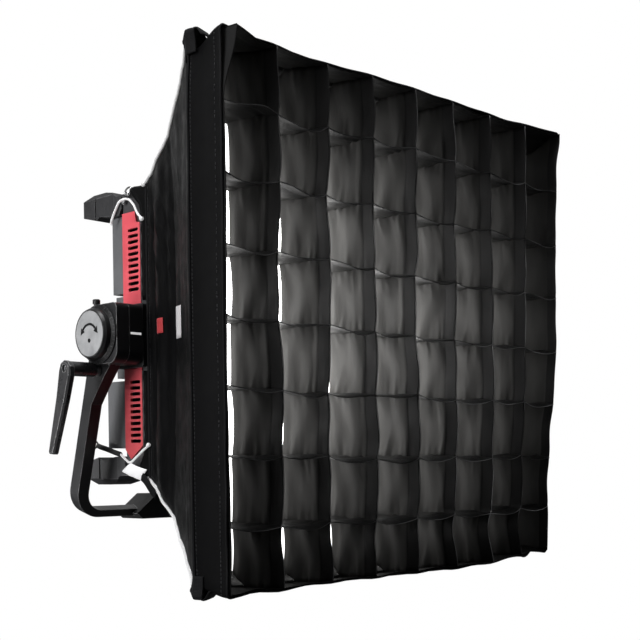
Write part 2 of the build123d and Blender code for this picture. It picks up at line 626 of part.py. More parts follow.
# elastic cords from the skin's rear corners back round the bumpers, with hooks at their ends
CORD_R = 1.6
CORD = [  # x outwards, y, z outwards from the head's centre
    (211.0, -122.0, 162), (211.0, -103.0, 170), (207.4, -78.0, 184), (206.5, -52.0, 196.5),
]
HOOK = [(206.5, -51.7, 196.7), (206.5, -40.0, 200.0)]
cords, hooks = [], []
for side, end in CORNERS:
    points, hook = [[(side * x, y, HEAD_Z + end * z) for x, y, z in path] for path in (CORD, HOOK)]
    cord = rod(points[0], points[1], CORD_R)
    for start, stop in zip(points[1:-1], points[2:]):
        cord += rod(start, stop, CORD_R)
    for point in points[1:-1]:
        cord += Pos(*point) * Sphere(CORD_R)
    cords.append(cord)
    hooks.append(rod(hook[0], hook[1], 2.6))
save("bungee_cords", cords)
save("cord_hooks", hooks)
save("fabric_tags", [box(-213.4, -214.0, -110.0, -84.0, 60.0, 76.0)])
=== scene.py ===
import bpy, json, math, random
from mathutils import Vector, Matrix, noise


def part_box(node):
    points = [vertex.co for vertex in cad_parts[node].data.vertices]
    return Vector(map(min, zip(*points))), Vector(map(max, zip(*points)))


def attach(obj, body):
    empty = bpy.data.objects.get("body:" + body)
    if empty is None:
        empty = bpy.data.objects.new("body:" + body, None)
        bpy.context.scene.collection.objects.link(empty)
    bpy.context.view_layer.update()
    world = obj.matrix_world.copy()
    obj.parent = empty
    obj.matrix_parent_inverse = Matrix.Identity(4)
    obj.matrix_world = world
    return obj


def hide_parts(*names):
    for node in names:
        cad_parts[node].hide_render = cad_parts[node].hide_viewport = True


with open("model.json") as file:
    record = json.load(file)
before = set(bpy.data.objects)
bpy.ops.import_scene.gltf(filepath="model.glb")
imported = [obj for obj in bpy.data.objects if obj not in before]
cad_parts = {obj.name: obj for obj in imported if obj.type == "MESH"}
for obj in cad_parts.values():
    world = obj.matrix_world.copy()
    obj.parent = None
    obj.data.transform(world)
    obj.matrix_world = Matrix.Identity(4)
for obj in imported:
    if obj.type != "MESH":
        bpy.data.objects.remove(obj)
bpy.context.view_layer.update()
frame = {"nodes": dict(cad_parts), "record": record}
NODES = frame["nodes"]
MM = 0.001

# ---------------------------------------------------------------- dimensions (mm, the CAD part's own frame)
BOX_W, BOX_H, CZ = 320.0, 308.0, 237.0          # soft box: half width, half height, centre height
FRONT_Y, BAND_B, TAPER_B = -401.0, -347.0, -126.0
REAR_W, REAR_H, REAR_Z = 208.5, 192.5, 248.0
GRID_F, GRID_B, GRID_W, GRID_H = -404.0, -328.5, 318.0, 306.0
CELL_W, CELL_H = GRID_W / 4, GRID_H / 4


def smooth(t):
    t = min(max(t, 0.0), 1.0)
    return t * t * (3 - 2 * t)


def bump(x, c, w):
    return math.exp(-((x - c) / w) ** 2)


def nz(x, y, z=0.0):
    return noise.noise(Vector((x, y, z)))


# ---------------------------------------------------------------- node material builder
class Mat:
    def __init__(self, name):
        self.m = bpy.data.materials.new(name)
        self.m.use_nodes = True
        self.t = self.m.node_tree
        self.t.nodes.clear()
        self.out = self.n("ShaderNodeOutputMaterial")
        self.b = self.n("ShaderNodeBsdfPrincipled")
        self.link(self.b.outputs[0], self.out.inputs[0])
        self.co = self.n("ShaderNodeTexCoord").outputs["Object"]

    def n(self, kind, **kw):
        nd = self.t.nodes.new(kind)
        for k, v in kw.items():
            setattr(nd, k, v)
        return nd

    def link(self, a, b):
        self.t.links.new(a, b)

    def put(self, socket, value):
        s = self.b.inputs[socket]
        if hasattr(value, "is_output"):
            self.link(value, s)
        else:
            s.default_value = value

    def stretch(self, scale):
        mp = self.n("ShaderNodeMapping")
        mp.inputs["Scale"].default_value = scale
        self.link(self.co, mp.inputs["Vector"])
        return mp.outputs[0]

    def noise(self, scale, detail=3.0, rough=0.5, stretch=None, distortion=0.0):
        nd = self.n("ShaderNodeTexNoise")
        nd.inputs["Scale"].default_value = scale
        nd.inputs["Detail"].default_value = detail
        nd.inputs["Roughness"].default_value = rough
        nd.inputs["Distortion"].default_value = distortion
        self.link(self.stretch(stretch) if stretch else self.co, nd.inputs["Vector"])
        return nd.outputs["Fac"]

    def voronoi(self, scale, feature="F1"):
        nd = self.n("ShaderNodeTexVoronoi", feature=feature)
        nd.inputs["Scale"].default_value = scale
        self.link(self.co, nd.inputs["Vector"])
        return nd.outputs["Distance"]

    def wave(self, axis, period, distortion=0.0):
        nd = self.n("ShaderNodeTexWave", wave_type="BANDS", bands_direction=axis, wave_profile="SIN")
        nd.inputs["Scale"].default_value = 0.31416 / (period * MM)
        nd.inputs["Distortion"].default_value = distortion
        nd.inputs["Detail"].default_value = 0.0
        self.link(self.co, nd.inputs["Vector"])
        return nd.outputs["Fac"]

    def math(self, op, a, b=0.0, c=0.0, clamp=False):
        nd = self.n("ShaderNodeMath", operation=op, use_clamp=clamp)
        for i, v in enumerate((a, b, c)):
            if hasattr(v, "is_output"):
                self.link(v, nd.inputs[i])
            else:
                nd.inputs[i].default_value = v
        return nd.outputs[0]

    def remap(self, v, lo, hi, to_lo, to_hi):
        nd = self.n("ShaderNodeMapRange")
        self.link(v, nd.inputs["Value"])
        for k, x in (("From Min", lo), ("From Max", hi), ("To Min", to_lo), ("To Max", to_hi)):
            nd.inputs[k].default_value = x
        return nd.outputs[0]

    def mix(self, fac, a, b):
        nd = self.n("ShaderNodeMix", data_type="RGBA")
        for sock, v in ((nd.inputs[0], fac), (nd.inputs[6], a), (nd.inputs[7], b)):
            if hasattr(v, "is_output"):
                self.link(v, sock)
            elif isinstance(v, (int, float)):
                sock.default_value = v
            else:
                sock.default_value = (*v, 1.0)
        return nd.outputs[2]

    def attribute(self, name):
        return self.n("ShaderNodeAttribute", attribute_name=name).outputs["Fac"]

    def bevel(self, radius, samples=4):
        nd = self.n("ShaderNodeBevel", samples=samples)
        nd.inputs["Radius"].default_value = radius * MM
        return nd.outputs[0]

    def edge(self, bevel_normal, gain=5.0):
        """1 on an outside edge, 0 on a flat face; the materials use it to paint edge highlights."""
        geo = self.n("ShaderNodeNewGeometry")
        dot = self.n("ShaderNodeVectorMath", operation="DOT_PRODUCT")
        self.link(bevel_normal, dot.inputs[0])
        self.link(geo.outputs["Normal"], dot.inputs[1])
        return self.math("MULTIPLY", self.math("SUBTRACT", 1.0, dot.outputs["Value"]), gain, clamp=True)

    def bumps(self, *layers, normal=None):
        """layers: (height socket, strength, distance in mm)"""
        for h, strength, dist in layers:
            nd = self.n("ShaderNodeBump")
            nd.inputs["Strength"].default_value = strength
            nd.inputs["Distance"].default_value = dist * MM
            self.link(h, nd.inputs["Height"])
            if normal is not None:
                self.link(normal, nd.inputs["Normal"])
            normal = nd.outputs[0]
        if normal is not None:
            self.link(normal, self.b.inputs["Normal"])


def weave(m, period):
    w = m.math("ADD", m.math("ADD", m.wave("X", period), m.wave("Y", period)), m.wave("Z", period))
    return w


def fabric(name, lo, hi, rough=0.6, period=1.0, sheen=0.15, bump_mm=0.25, wrinkle=0.5, spec=0.5, fuzz=0.0,
           crease=(26.0, 4.0, 0.55)):
    m = Mat(name)
    patch = m.noise(9.0, 4.0, 0.6)
    thread = m.noise(900.0, 2.0, 0.6)
    tone = m.math("MULTIPLY_ADD", thread, 0.45, m.math("MULTIPLY", patch, 0.55))
    m.put("Base Color", m.mix(m.remap(tone, 0.3, 0.7, 0.0, 1.0), lo, hi))
    m.put("Roughness", m.remap(m.noise(60.0, 3.0), 0.3, 0.7, rough - 0.07, rough + 0.09))
    m.put("Specular IOR Level", spec)
    m.put("Sheen Weight", sheen)
    m.put("Sheen Roughness", 0.45)
    m.put("Sheen Tint", (0.8, 0.82, 0.9, 1.0))
    m.bumps((m.noise(*crease, distortion=0.6), wrinkle, 1.2),
            (weave(m, period), 0.35, bump_mm), (m.noise(1500.0, 2.0), 0.2 + fuzz, 0.15))
    return m


def moulded(name, lo, hi, rough=0.5, grain=700.0, grain_mm=0.12, edge_col=None, edge=0.6, radius=0.7, metallic=0.0,
            spec=0.5, coat=0.0):
    """Moulded plastic or painted metal: fine grain, soft blotches, painted highlights on the outside edges broken up by
    noise, softened corners.
    """
    m = Mat(name)
    bn = m.bevel(radius)
    tone = m.math("MULTIPLY_ADD", m.noise(grain, 2.0), 0.4, m.math("MULTIPLY", m.noise(14.0, 5.0, 0.65), 0.6))
    col = m.mix(m.remap(tone, 0.32, 0.68, 0.0, 1.0), lo, hi)
    if edge_col:
        # painted edge highlight: outside edges are coloured lighter towards edge_col
        edge_highlight = m.math("MULTIPLY", m.edge(bn, 4.0), m.remap(m.noise(90.0, 5.0, 0.7), 0.35, 0.6, 0.25, 1.0))
        col = m.mix(m.math("MULTIPLY", edge_highlight, edge), col, edge_col)
    m.put("Base Color", col)
    m.put("Metallic", metallic)
    m.put("Specular IOR Level", spec)
    m.put("Coat Weight", coat)
    m.put("Coat Roughness", 0.25)
    m.put("Roughness", m.remap(m.noise(48.0, 6.0, 0.7), 0.3, 0.7, rough - 0.08, rough + 0.1))
    m.bumps((m.voronoi(grain), 0.35, grain_mm), (m.noise(30.0, 2.0), 0.08, 0.4), normal=bn)
    return m


def brushed(name, lo, hi, rough=0.32, axis=(1.0, 60.0, 60.0), metallic=1.0, edge_col=None):
    """Turned, extruded or brushed metal with directional scratches."""
    m = Mat(name)
    bn = m.bevel(0.4)
    line = m.noise(14.0, 4.0, 0.7, stretch=axis)
    col = m.mix(m.remap(line, 0.3, 0.7, 0.0, 1.0), lo, hi)
    if edge_col:
        # painted edge highlight: outside edges are coloured lighter towards edge_col
        col = m.mix(m.math("MULTIPLY", m.edge(bn, 4.0), 0.6), col, edge_col)
    m.put("Base Color", col)
    m.put("Metallic", metallic)
    m.put("Roughness", m.remap(line, 0.3, 0.7, rough - 0.06, rough + 0.1))
    m.bumps((line, 0.18, 0.08), (m.noise(700.0, 2.0), 0.1, 0.05), normal=bn)
    return m


# ---------------------------------------------------------------- materials
black_fabric = fabric("black_fabric", (0.0016, 0.0016, 0.0018), (0.0042, 0.0042, 0.0046), rough=0.42, period=0.9, sheen=0.0,
                      wrinkle=0.6, spec=0.06, crease=(9.0, 1.6, 0.45))
binding_tape = fabric("binding_tape", (0.004, 0.004, 0.0045), (0.010, 0.010, 0.011), rough=0.6, period=1.6, sheen=0.03,
                      bump_mm=0.5, wrinkle=0.2, spec=0.10)
white_fabric = fabric("white_fabric", (0.72, 0.72, 0.72), (0.84, 0.84, 0.83), rough=0.75, period=1.0, sheen=0.2)
white_tag = fabric("white_tag", (0.86, 0.86, 0.87), (0.95, 0.95, 0.95), rough=0.6, period=1.3, sheen=0.2, wrinkle=0.6)
red_tab = fabric("red_tab", (0.36, 0.015, 0.02), (0.55, 0.03, 0.035), rough=0.6, period=1.2, sheen=0.2)
grey_tab = fabric("grey_tab", (0.56, 0.54, 0.55), (0.74, 0.72, 0.73), rough=0.6, period=1.2, sheen=0.2)
thread_mat = fabric("thread", (0.02, 0.02, 0.022), (0.05, 0.05, 0.055), rough=0.5, period=0.4, sheen=0.2)
elastic = fabric("white_elastic", (0.82, 0.82, 0.83), (0.95, 0.95, 0.95), rough=0.7, period=1.4, sheen=0.2, bump_mm=0.4)
for bright, painted_glow in ((white_tag, 0.30), (elastic, 0.25)):     # painted glow: emission makes the white webbing and cord shine brighter than their colour alone
    bright.put("Emission Color", (1.0, 1.0, 1.0, 1.0))
    bright.put("Emission Strength", painted_glow)
rod_white = moulded("white_rod", (0.84, 0.84, 0.84), (0.94, 0.94, 0.94), rough=0.35, grain=300.0, grain_mm=0.03)


def grid_material(name="grid_fabric", shade=1.0, hem_shade=1.0):
    """Thin black ripstop: some light comes through the single layer, none through the doubled front hem, whose colour
    is darkened as painted shade.
    """
    m = Mat(name)
    hem = m.attribute("hem")
    patch = m.noise(12.0, 4.0, 0.6, stretch=(1.0, 1.0, 0.35))
    tone = m.mix(m.remap(patch, 0.3, 0.7, 0.0, 1.0), tuple(c * shade for c in (0.0238, 0.0235, 0.0231)),
                 tuple(c * shade for c in (0.0655, 0.0645, 0.063)))
    zs = m.n("ShaderNodeSeparateXYZ")            # painted shade: the doubled hem is coloured darker low down and paler up high
    m.link(m.co, zs.inputs[0])
    hem_shaded_col = m.mix(m.remap(zs.outputs[2], 0.08, 0.36, 0.0, 1.0), tuple(c * hem_shade for c in (0.0062, 0.0062, 0.0064)),
                    tuple(c * hem_shade for c in (0.0185, 0.0184, 0.0187)))
    col = m.mix(hem, tone, hem_shaded_col)
    m.put("Base Color", col)
    m.put("Roughness", m.remap(m.noise(70.0, 3.0), 0.3, 0.7, 0.5, 0.66))
    m.put("Specular IOR Level", 0.03)
    m.put("Sheen Weight", 0.01)
    m.put("Sheen Roughness", 0.4)
    m.bumps((m.noise(34.0, 4.0, 0.6, stretch=(1.0, 1.0, 0.3), distortion=0.4), 0.5, 1.2),
            (weave(m, 0.9), 0.3, 0.2), (m.noise(1500.0, 2.0), 0.25, 0.12))
    thin = m.n("ShaderNodeBsdfTranslucent")
    thin.inputs["Color"].default_value = (0.030, 0.0285, 0.0265, 1.0)
    add = m.n("ShaderNodeMixShader")
    m.link(m.math("MULTIPLY", m.math("SUBTRACT", 1.0, hem, clamp=True), 0.35), add.inputs[0])
    m.link(m.b.outputs[0], add.inputs[1])
    m.link(thin.outputs[0], add.inputs[2])
    m.link(add.outputs[0], m.out.inputs[0])
    return m


grid_fabric = grid_material()
level_strip_shaded_fabric = grid_material("grid_level_strips_painted_shade", 0.42, 0.30)     # the level strips: the same cloth, coloured darker as painted shade


def diffuser_material():
    """White diffusion cloth, lit from behind: bright in the middle, weaker to the edges, with a faint weave."""
    m = Mat("lit_diffuser")
    m.put("Base Color", (0.8, 0.8, 0.8, 1.0))
    m.put("Roughness", 0.8)
    sep = m.n("ShaderNodeSeparateXYZ")
    m.link(m.co, sep.inputs[0])
    x = m.math("MULTIPLY", m.math("ADD", sep.outputs[0], 0.04), 1 / 0.36)
    z = m.math("MULTIPLY", m.math("SUBTRACT", sep.outputs[2], 0.245), 1 / 0.27)
    r = m.math("ADD", m.math("MULTIPLY", x, x), m.math("MULTIPLY", z, z))
    fall = m.math("POWER", 2.718, m.math("MULTIPLY", r, -2.1))
    weft = m.remap(m.noise(500.0, 2.0), 0.3, 0.7, 0.94, 1.04)
    m.put("Emission Color", (1.0, 0.992, 0.975, 1.0))
    m.put("Emission Strength", m.math("MULTIPLY", m.math("MULTIPLY_ADD", fall, 17.0, 0.7), weft))
    m.bumps((weave(m, 1.0), 0.2, 0.15))
    return m


lit_diffuser = diffuser_material()

# each edge_col below is the colour of a painted highlight along the part's outside edges
CAD_MATS = {
    "yoke_metal": moulded("yoke_metal", (0.009, 0.009, 0.010), (0.018, 0.018, 0.0195), rough=0.38, grain=900.0,
                          grain_mm=0.05, edge_col=(0.66, 0.66, 0.67), edge=1.0, radius=1.6, spec=0.35),
    "steel": brushed("steel", (0.42, 0.42, 0.43), (0.60, 0.60, 0.61), rough=0.3),
    "black_plastic": moulded("black_plastic", (0.0055, 0.0055, 0.006), (0.013, 0.013, 0.014), rough=0.40, grain=600.0,
                             edge_col=(0.26, 0.26, 0.27), edge=0.8, radius=0.8, spec=0.3),
    "cap_metal": brushed("cap_metal", (0.50, 0.51, 0.53), (0.66, 0.67, 0.69), rough=0.38, axis=(40.0, 3.0, 40.0),
                         metallic=0.55, edge_col=(0.8, 0.8, 0.82)),
    "bronze": brushed("bronze", (0.42, 0.28, 0.12), (0.55, 0.38, 0.18), rough=0.35),
    "lever_metal": moulded("lever_metal", (0.014, 0.014, 0.015), (0.030, 0.030, 0.032), rough=0.28, grain=900.0,
                           grain_mm=0.05, edge_col=(0.62, 0.62, 0.63), edge=1.0, radius=1.4, spec=0.8),
    "head_metal": moulded("head_metal", (0.020, 0.020, 0.022), (0.036, 0.036, 0.039), rough=0.45, grain=800.0,
                          edge_col=(0.10, 0.10, 0.11), radius=0.8),
    "friction": moulded("friction", (0.05, 0.045, 0.04), (0.11, 0.10, 0.09), rough=0.85, grain=400.0, grain_mm=0.3),
    "bumper_plastic": moulded("bumper_plastic", (0.0085, 0.0085, 0.0095), (0.018, 0.018, 0.020), rough=0.48, grain=500.0,
                              grain_mm=0.2, edge_col=(0.20, 0.20, 0.21), edge=0.8, radius=1.4),
    "sink_aluminium": brushed("sink_aluminium", (0.10, 0.10, 0.105), (0.18, 0.18, 0.19), rough=0.42),
    "board": moulded("board", (0.02, 0.06, 0.035), (0.03, 0.10, 0.05), rough=0.4, grain=300.0),
    "window": moulded("window", (0.70, 0.70, 0.68), (0.82, 0.82, 0.80), rough=0.5, grain=300.0),
    "fan_plastic": moulded("fan_plastic", (0.012, 0.012, 0.013), (0.024, 0.024, 0.025), rough=0.45, grain=700.0,
                           edge_col=(0.08, 0.08, 0.09)),
    "cover_metal": moulded("cover_metal", (0.072, 0.074, 0.078), (0.108, 0.110, 0.116), rough=0.46, grain=900.0,
                           edge_col=(0.32, 0.32, 0.33), edge=0.7, radius=1.0),
    "display": moulded("display", (0.004, 0.004, 0.006), (0.008, 0.009, 0.012), rough=0.12, grain=200.0,
                       grain_mm=0.01, coat=0.6),
    "knob_rubber": moulded("knob_rubber", (0.012, 0.012, 0.012), (0.026, 0.026, 0.026), rough=0.7, grain=500.0,
                           edge_col=(0.07, 0.07, 0.07)),
    "rocker_plastic": moulded("rocker_plastic", (0.014, 0.014, 0.015), (0.03, 0.03, 0.03), rough=0.3, grain=600.0,
                              edge_col=(0.1, 0.1, 0.1)),
    "socket_plastic": moulded("socket_plastic", (0.012, 0.012, 0.013), (0.022, 0.022, 0.023), rough=0.5, grain=600.0),
    "socket_metal": brushed("socket_metal", (0.45, 0.45, 0.44), (0.62, 0.62, 0.60), rough=0.28),
    "screw_chrome": brushed("screw_chrome", (0.62, 0.62, 0.63), (0.82, 0.82, 0.83), rough=0.2),
}


def red_metal():
    """Anodised red side plate with fine bead-blasted grain; painted highlights make it brighter to the top and lighter
    on the chamfers.
    """
    m = Mat("red_metal")
    bn = m.bevel(0.5)
    sep = m.n("ShaderNodeSeparateXYZ")
    m.link(m.co, sep.inputs[0])
    # painted highlight: the plate is coloured brighter towards the top
    up = m.remap(sep.outputs[2], 0.10, 0.22, 0.0, 1.0)
    base = m.mix(up, (0.33, 0.020, 0.026), (0.66, 0.080, 0.105))
    mottled = m.mix(m.remap(m.noise(30.0, 5.0, 0.7), 0.35, 0.65, 0.0, 0.35), base, (0.66, 0.10, 0.12))
    # painted highlight: the chamfers are coloured lighter
    m.put("Base Color", m.mix(m.math("MULTIPLY", m.edge(bn, 4.0), 0.6), mottled, (0.80, 0.30, 0.30)))
    m.put("Metallic", 0.25)
    m.put("Roughness", m.remap(m.noise(80.0, 4.0), 0.3, 0.7, 0.34, 0.5))
    m.bumps((m.voronoi(1400.0), 0.3, 0.06), normal=bn)
    return m


CAD_MATS["red_metal"] = red_metal()


def cap_material():
    """Hub cap: satin silver face with fine turning lines, black anodised rim."""
    m = Mat("hub_cap")
    bn = m.bevel(0.5)
    geo = m.n("ShaderNodeNewGeometry")
    sep = m.n("ShaderNodeSeparateXYZ")
    m.link(geo.outputs["Normal"], sep.inputs[0])
    face = m.math("GREATER_THAN", m.math("ABSOLUTE", sep.outputs[0]), 0.93)
    pos = m.n("ShaderNodeVectorMath", operation="SUBTRACT")
    m.link(m.co, pos.inputs[0])
    pos.inputs[1].default_value = (0.0, -0.085, 0.2445)
    flat = m.n("ShaderNodeVectorMath", operation="MULTIPLY")
    m.link(pos.outputs[0], flat.inputs[0])
    flat.inputs[1].default_value = (0.0, 1.0, 1.0)
    rad = m.n("ShaderNodeVectorMath", operation="LENGTH")
    m.link(flat.outputs[0], rad.inputs[0])
    turn = m.math("SINE", m.math("MULTIPLY", rad.outputs["Value"], 9000.0))
    rim = m.math("MULTIPLY", face, m.math("LESS_THAN", rad.outputs["Value"], 0.0292))
    tone = m.mix(m.remap(m.noise(50.0, 4.0, 0.6), 0.3, 0.7, 0.0, 1.0), (0.36, 0.365, 0.375), (0.49, 0.495, 0.505))
    m.put("Base Color", m.mix(rim, (0.012, 0.012, 0.013), tone))
    m.put("Metallic", m.math("MULTIPLY", rim, 0.6))
    m.put("Roughness", m.remap(m.noise(90.0, 3.0), 0.3, 0.7, 0.34, 0.46))
    m.bumps((turn, 0.10, 0.03), (m.noise(800.0, 2.0), 0.1, 0.05), normal=bn)
    return m


CAD_MATS["cap_metal"] = cap_material()


def emitter_material():
    m = Mat("emitter")
    cell = m.voronoi(160.0)
    m.put("Base Color", m.mix(m.remap(cell, 0.0, 0.6, 0.0, 1.0), (0.80, 0.62, 0.18), (0.55, 0.42, 0.12)))
    m.put("Roughness", 0.35)
    m.bumps((cell, 0.2, 0.2))
    return m


CAD_MATS["emitter"] = emitter_material()
CAD_MATS.update(black_fabric=black_fabric, grid_fabric=grid_fabric, white_fabric=white_fabric, white_rod=rod_white,
                white_elastic=elastic, white_tag=white_tag)

slot_of = {}
for part in frame["record"].get("subparts", []):
    key = part.get("material_slot") or part.get("material") or part.get("slot")
    for n in (part.get("nodes") or [part.get("node") or part.get("name")]):
        slot_of[n] = key
NODE_SLOT_HINT = {}
for nname, ob in NODES.items():
    key = slot_of.get(nname)
    for s in ob.material_slots:
        base = (s.material.name if s.material else "").split(".")[0]
        pick = CAD_MATS.get(base) or CAD_MATS.get(key)
        if pick is None:
            raise SystemExit("no material for %s (%s, %s)" % (nname, base, key))
        s.material = pick.m

# ---------------------------------------------------------------- mesh helpers


def piece(name, verts, faces, mat, body="head", smooth_shade=True, thick=0.0, offset=0.0, hem=None,
          replaces=(), bevel=0.0):
    me = bpy.data.meshes.new(name)
    me.from_pydata([(v[0] * MM, v[1] * MM, v[2] * MM) for v in verts], [], faces)
    me.update()
    ob = bpy.data.objects.new(name, me)
    bpy.context.scene.collection.objects.link(ob)
    me.materials.append(mat.m)
    me.polygons.foreach_set("use_smooth", [smooth_shade] * len(me.polygons))
    if hem is not None:
        a = me.attributes.new("hem", "FLOAT", "POINT")
        a.data.foreach_set("value", hem)
    if thick:
        md = ob.modifiers.new("thickness", "SOLIDIFY")
        md.thickness, md.offset = thick * MM, offset
    if bevel:
        md = ob.modifiers.new("bevel", "BEVEL")
        md.width, md.segments, md.limit_method = bevel * MM, 2, "ANGLE"
    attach(ob, body)
    if replaces:
        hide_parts(*replaces)
    return ob


class Bag:
    """Collects several shells into one mesh."""

    def __init__(self):
        self.v, self.f, self.h = [], [], []

    def grid(self, nu, nv, fn, wrap_u=False, hem=None):
        base = len(self.v)
        for j in range(nv + 1):
            for i in range(nu + (0 if wrap_u else 1)):
                self.v.append(fn(i / nu, j / nv))
                self.h.append(hem(i / nu, j / nv) if hem else 0.0)
        w = nu if wrap_u else nu + 1
        for j in range(nv):
            for i in range(nu):
                a, b = base + j * w + i, base + j * w + (i + 1) % w
                self.f.append((a, b, b + w, a + w))

    def tube(self, pts, r, n=10, closed=False, ridge=0.0, twist=0.0, caps=True):
        """A tube along pts; ridge adds a braided relief."""
        pts = [Vector(p) for p in pts]
        base, m = len(self.v), len(pts)
        up = Vector((0.13, 0.31, 0.94))
        for k, p in enumerate(pts):
            a = pts[(k - 1) % m] if (closed or k > 0) else p
            b = pts[(k + 1) % m] if (closed or k < m - 1) else p
            d = (b - a).normalized()
            side = d.cross(up)
            if side.length < 1e-3:
                side = d.cross(Vector((1, 0, 0)))
            side.normalize()
            up2 = side.cross(d)
            rr = r[k] if isinstance(r, (list, tuple)) else r
            for q in range(n):
                ang = 2 * math.pi * q / n
                x = rr * (1 + ridge * math.sin(ang * 3 + k * twist))
                self.v.append(tuple(p + side * (x * math.cos(ang)) + up2 * (x * math.sin(ang))))
                self.h.append(0.0)
        for k in range(m if closed else m - 1):
            for q in range(n):
                a = base + k * n + q
                b = base + k * n + (q + 1) % n
                c = base + ((k + 1) % m) * n
                self.f.append((a, b, c + (q + 1) % n, c + q))
        if caps and not closed:
            self.f.append(tuple(base + q for q in reversed(range(n))))
            self.f.append(tuple(base + (m - 1) * n + q for q in range(n)))

    def block(self, o, ex, ey, ez):
        """A box from corner o with edge vectors."""
        o, ex, ey, ez = Vector(o), Vector(ex), Vector(ey), Vector(ez)
        base = len(self.v)
        for c in range(8):
            self.v.append(tuple(o + ex * (c & 1) + ey * (c >> 1 & 1) + ez * (c >> 2 & 1)))
            self.h.append(0.0)
        for q in ((0, 2, 3, 1), (4, 5, 7, 6), (0, 1, 5, 4), (2, 6, 7, 3), (0, 4, 6, 2), (1, 3, 7, 5)):
            self.f.append(tuple(base + i for i in q))


def spline(pts, n=8):
    """Catmull-Rom through pts."""
    pts = [Vector(p) for p in pts]
    ext = [pts[0] * 2 - pts[1]] + pts + [pts[-1] * 2 - pts[-2]]
    out = []
    for k in range(1, len(ext) - 2):
        a, b, c, d = ext[k - 1], ext[k], ext[k + 1], ext[k + 2]
        for i in range(n):
            t = i / n
            out.append(0.5 * ((2 * b) + (c - a) * t + (2 * a - 5 * b + 4 * c - d) * t * t
                              + (3 * b - a - 3 * c + d) * t * t * t))
    out.append(pts[-1])
    return out


# ---------------------------------------------------------------- how the cloth hangs (mm, at lattice u, v)
def lean_in(u, v, y):
    """The lower right corner of the box is pulled in, back and up; it dies away down the taper."""
    right, low = smooth((u - 2.2) / 1.8), smooth((0.4 - v) / 3.6)
    g = 1.0
    if y > BAND_B:
        g = max(0.0, (y - TAPER_B) / (BAND_B - TAPER_B)) ** 2
    up_ = smooth((-2.0 - v) / 2.0) * smooth((u - 1.2) / 2.2)
    return -13.0 * right * low * g, 9.0 * right * low * g, 9.0 * up_ * g


def drape(u, v):
    """The front edge alone: the top dips, the bottom lifts a little."""
    right, top, bottom = smooth((u - 2.2) / 1.8), smooth((v - 2.6) / 1.4), smooth((-2.8 - v) / 1.2)
    dz = (top * (-6.0 * bump(u, -2.3, 1.2) + 4.0 * bump(u, 4.0, 0.9)) + bottom * 4.5 * smooth((u + 3.6) / 1.4)
          + 4.0 * bump(v, 3.0, 0.5) * bump(u, -1.0, 1.8))
    return 6.0 * right * top, -3.0 * right * top, dz


rng = random.Random(20)
NODE = {}
for i in range(-4, 5):
    for j in range(-4, 5):
        dx, dy, dz = drape(i, j)
        inner = 1.0 if abs(i) < 4 and abs(j) < 4 else 0.45
        dx += rng.uniform(-2.2, 2.2) * inner
        dy += rng.uniform(-2.5, 2.5) * inner
        dz += rng.uniform(-2.4, 2.4) * inner
        if (i, j) == (-4, 4):                    # the loose near top corner stands forward
            dx, dy, dz = 6.0, -15.0, -2.0
        NODE[i, j] = (dx, dy, dz)


def node_mix(a, b, t):
    w = t * t * (3 - 2 * t)
    return [p + (q - p) * w for p, q in zip(NODE[a], NODE[b])]


def depth_y(d, border):
    back = -346.5 if border else GRID_B
    return GRID_F + (back - GRID_F) * d


def inside(y):
    """Half width, half height and centre height the cover leaves free at depth y."""
    if y <= BAND_B:
        return GRID_W, GRID_H, CZ
    t = (y - TAPER_B) / (BAND_B - TAPER_B)
    lost = 12.5 * 4 * t * (1 - t) + 5.0
    return (min(GRID_W, REAR_W + (BOX_W - REAR_W) * t - lost), min(GRID_H, REAR_H + (BOX_H - REAR_H) * t - lost),
            REAR_Z + (CZ - REAR_Z) * t)


def corner_dip(x, z, y):
    """How far the cloth dips between rod tip and front edge, near a corner of the front."""
    near = bump(math.hypot(BOX_W - abs(x), BOX_H - abs(z)), 0.0, 44.0)
    slack = near * (1.0 if z > 0 else 0.4) * (smooth((y - FRONT_Y) / 44.0) if y <= BAND_B
                                              else 1 - smooth((y - BAND_B) / 26.0))
    return (-math.copysign(3.0, x) * slack,
            -math.copysign(17.5, z) * slack * smooth((abs(z) - BOX_H + 60) / 56))


def squeeze(x, y, z):
    """Behind the band only the outer cells narrow, to follow the taper; the pulled-in corner moves everything."""
    ax, ay, az = lean_in(x / CELL_W, (z - CZ) / CELL_H, y)
    lw, lh, cz = inside(y)
    kw, kh = GRID_W * 0.76, GRID_H * 0.76
    if abs(x) > kw:
        x = math.copysign(kw + (abs(x) - kw) * (lw - kw) / (GRID_W - kw), x)
    dz = z - CZ
    if abs(dz) > kh:
        lim = lh + (cz - CZ) * (1 if dz > 0 else -1)
        dz = math.copysign(kh + (abs(dz) - kh) * (lim - kh) / (GRID_H - kh), dz)
    sx_, sz_ = corner_dip(x, dz, y)
    return (x + ax + sx_, y + ay, CZ + dz + az + sz_)


SCALLOP = {side: [rng.uniform(lo_, hi_) for _ in range(8)] for side, lo_, hi_ in
           ((0, 0.6, 3.0), (1, 0.0, 0.7), (2, 1.0, 4.5), (3, 0.8, 5.0))}


def scallop(side, s, y):
    """How far the front edge pulls in between the grid's seams: 0 top, 1 near side, 2 bottom, 3 far side."""
    cell = CELL_W if side in (0, 2) else CELL_H
    k = min(max(int(math.floor(s / cell + 4)), 0), 7)
    f = smooth((BAND_B - y) / (BAND_B - FRONT_Y))
    return SCALLOP[side][k] * math.sin(math.pi * s / cell) ** 2 * f


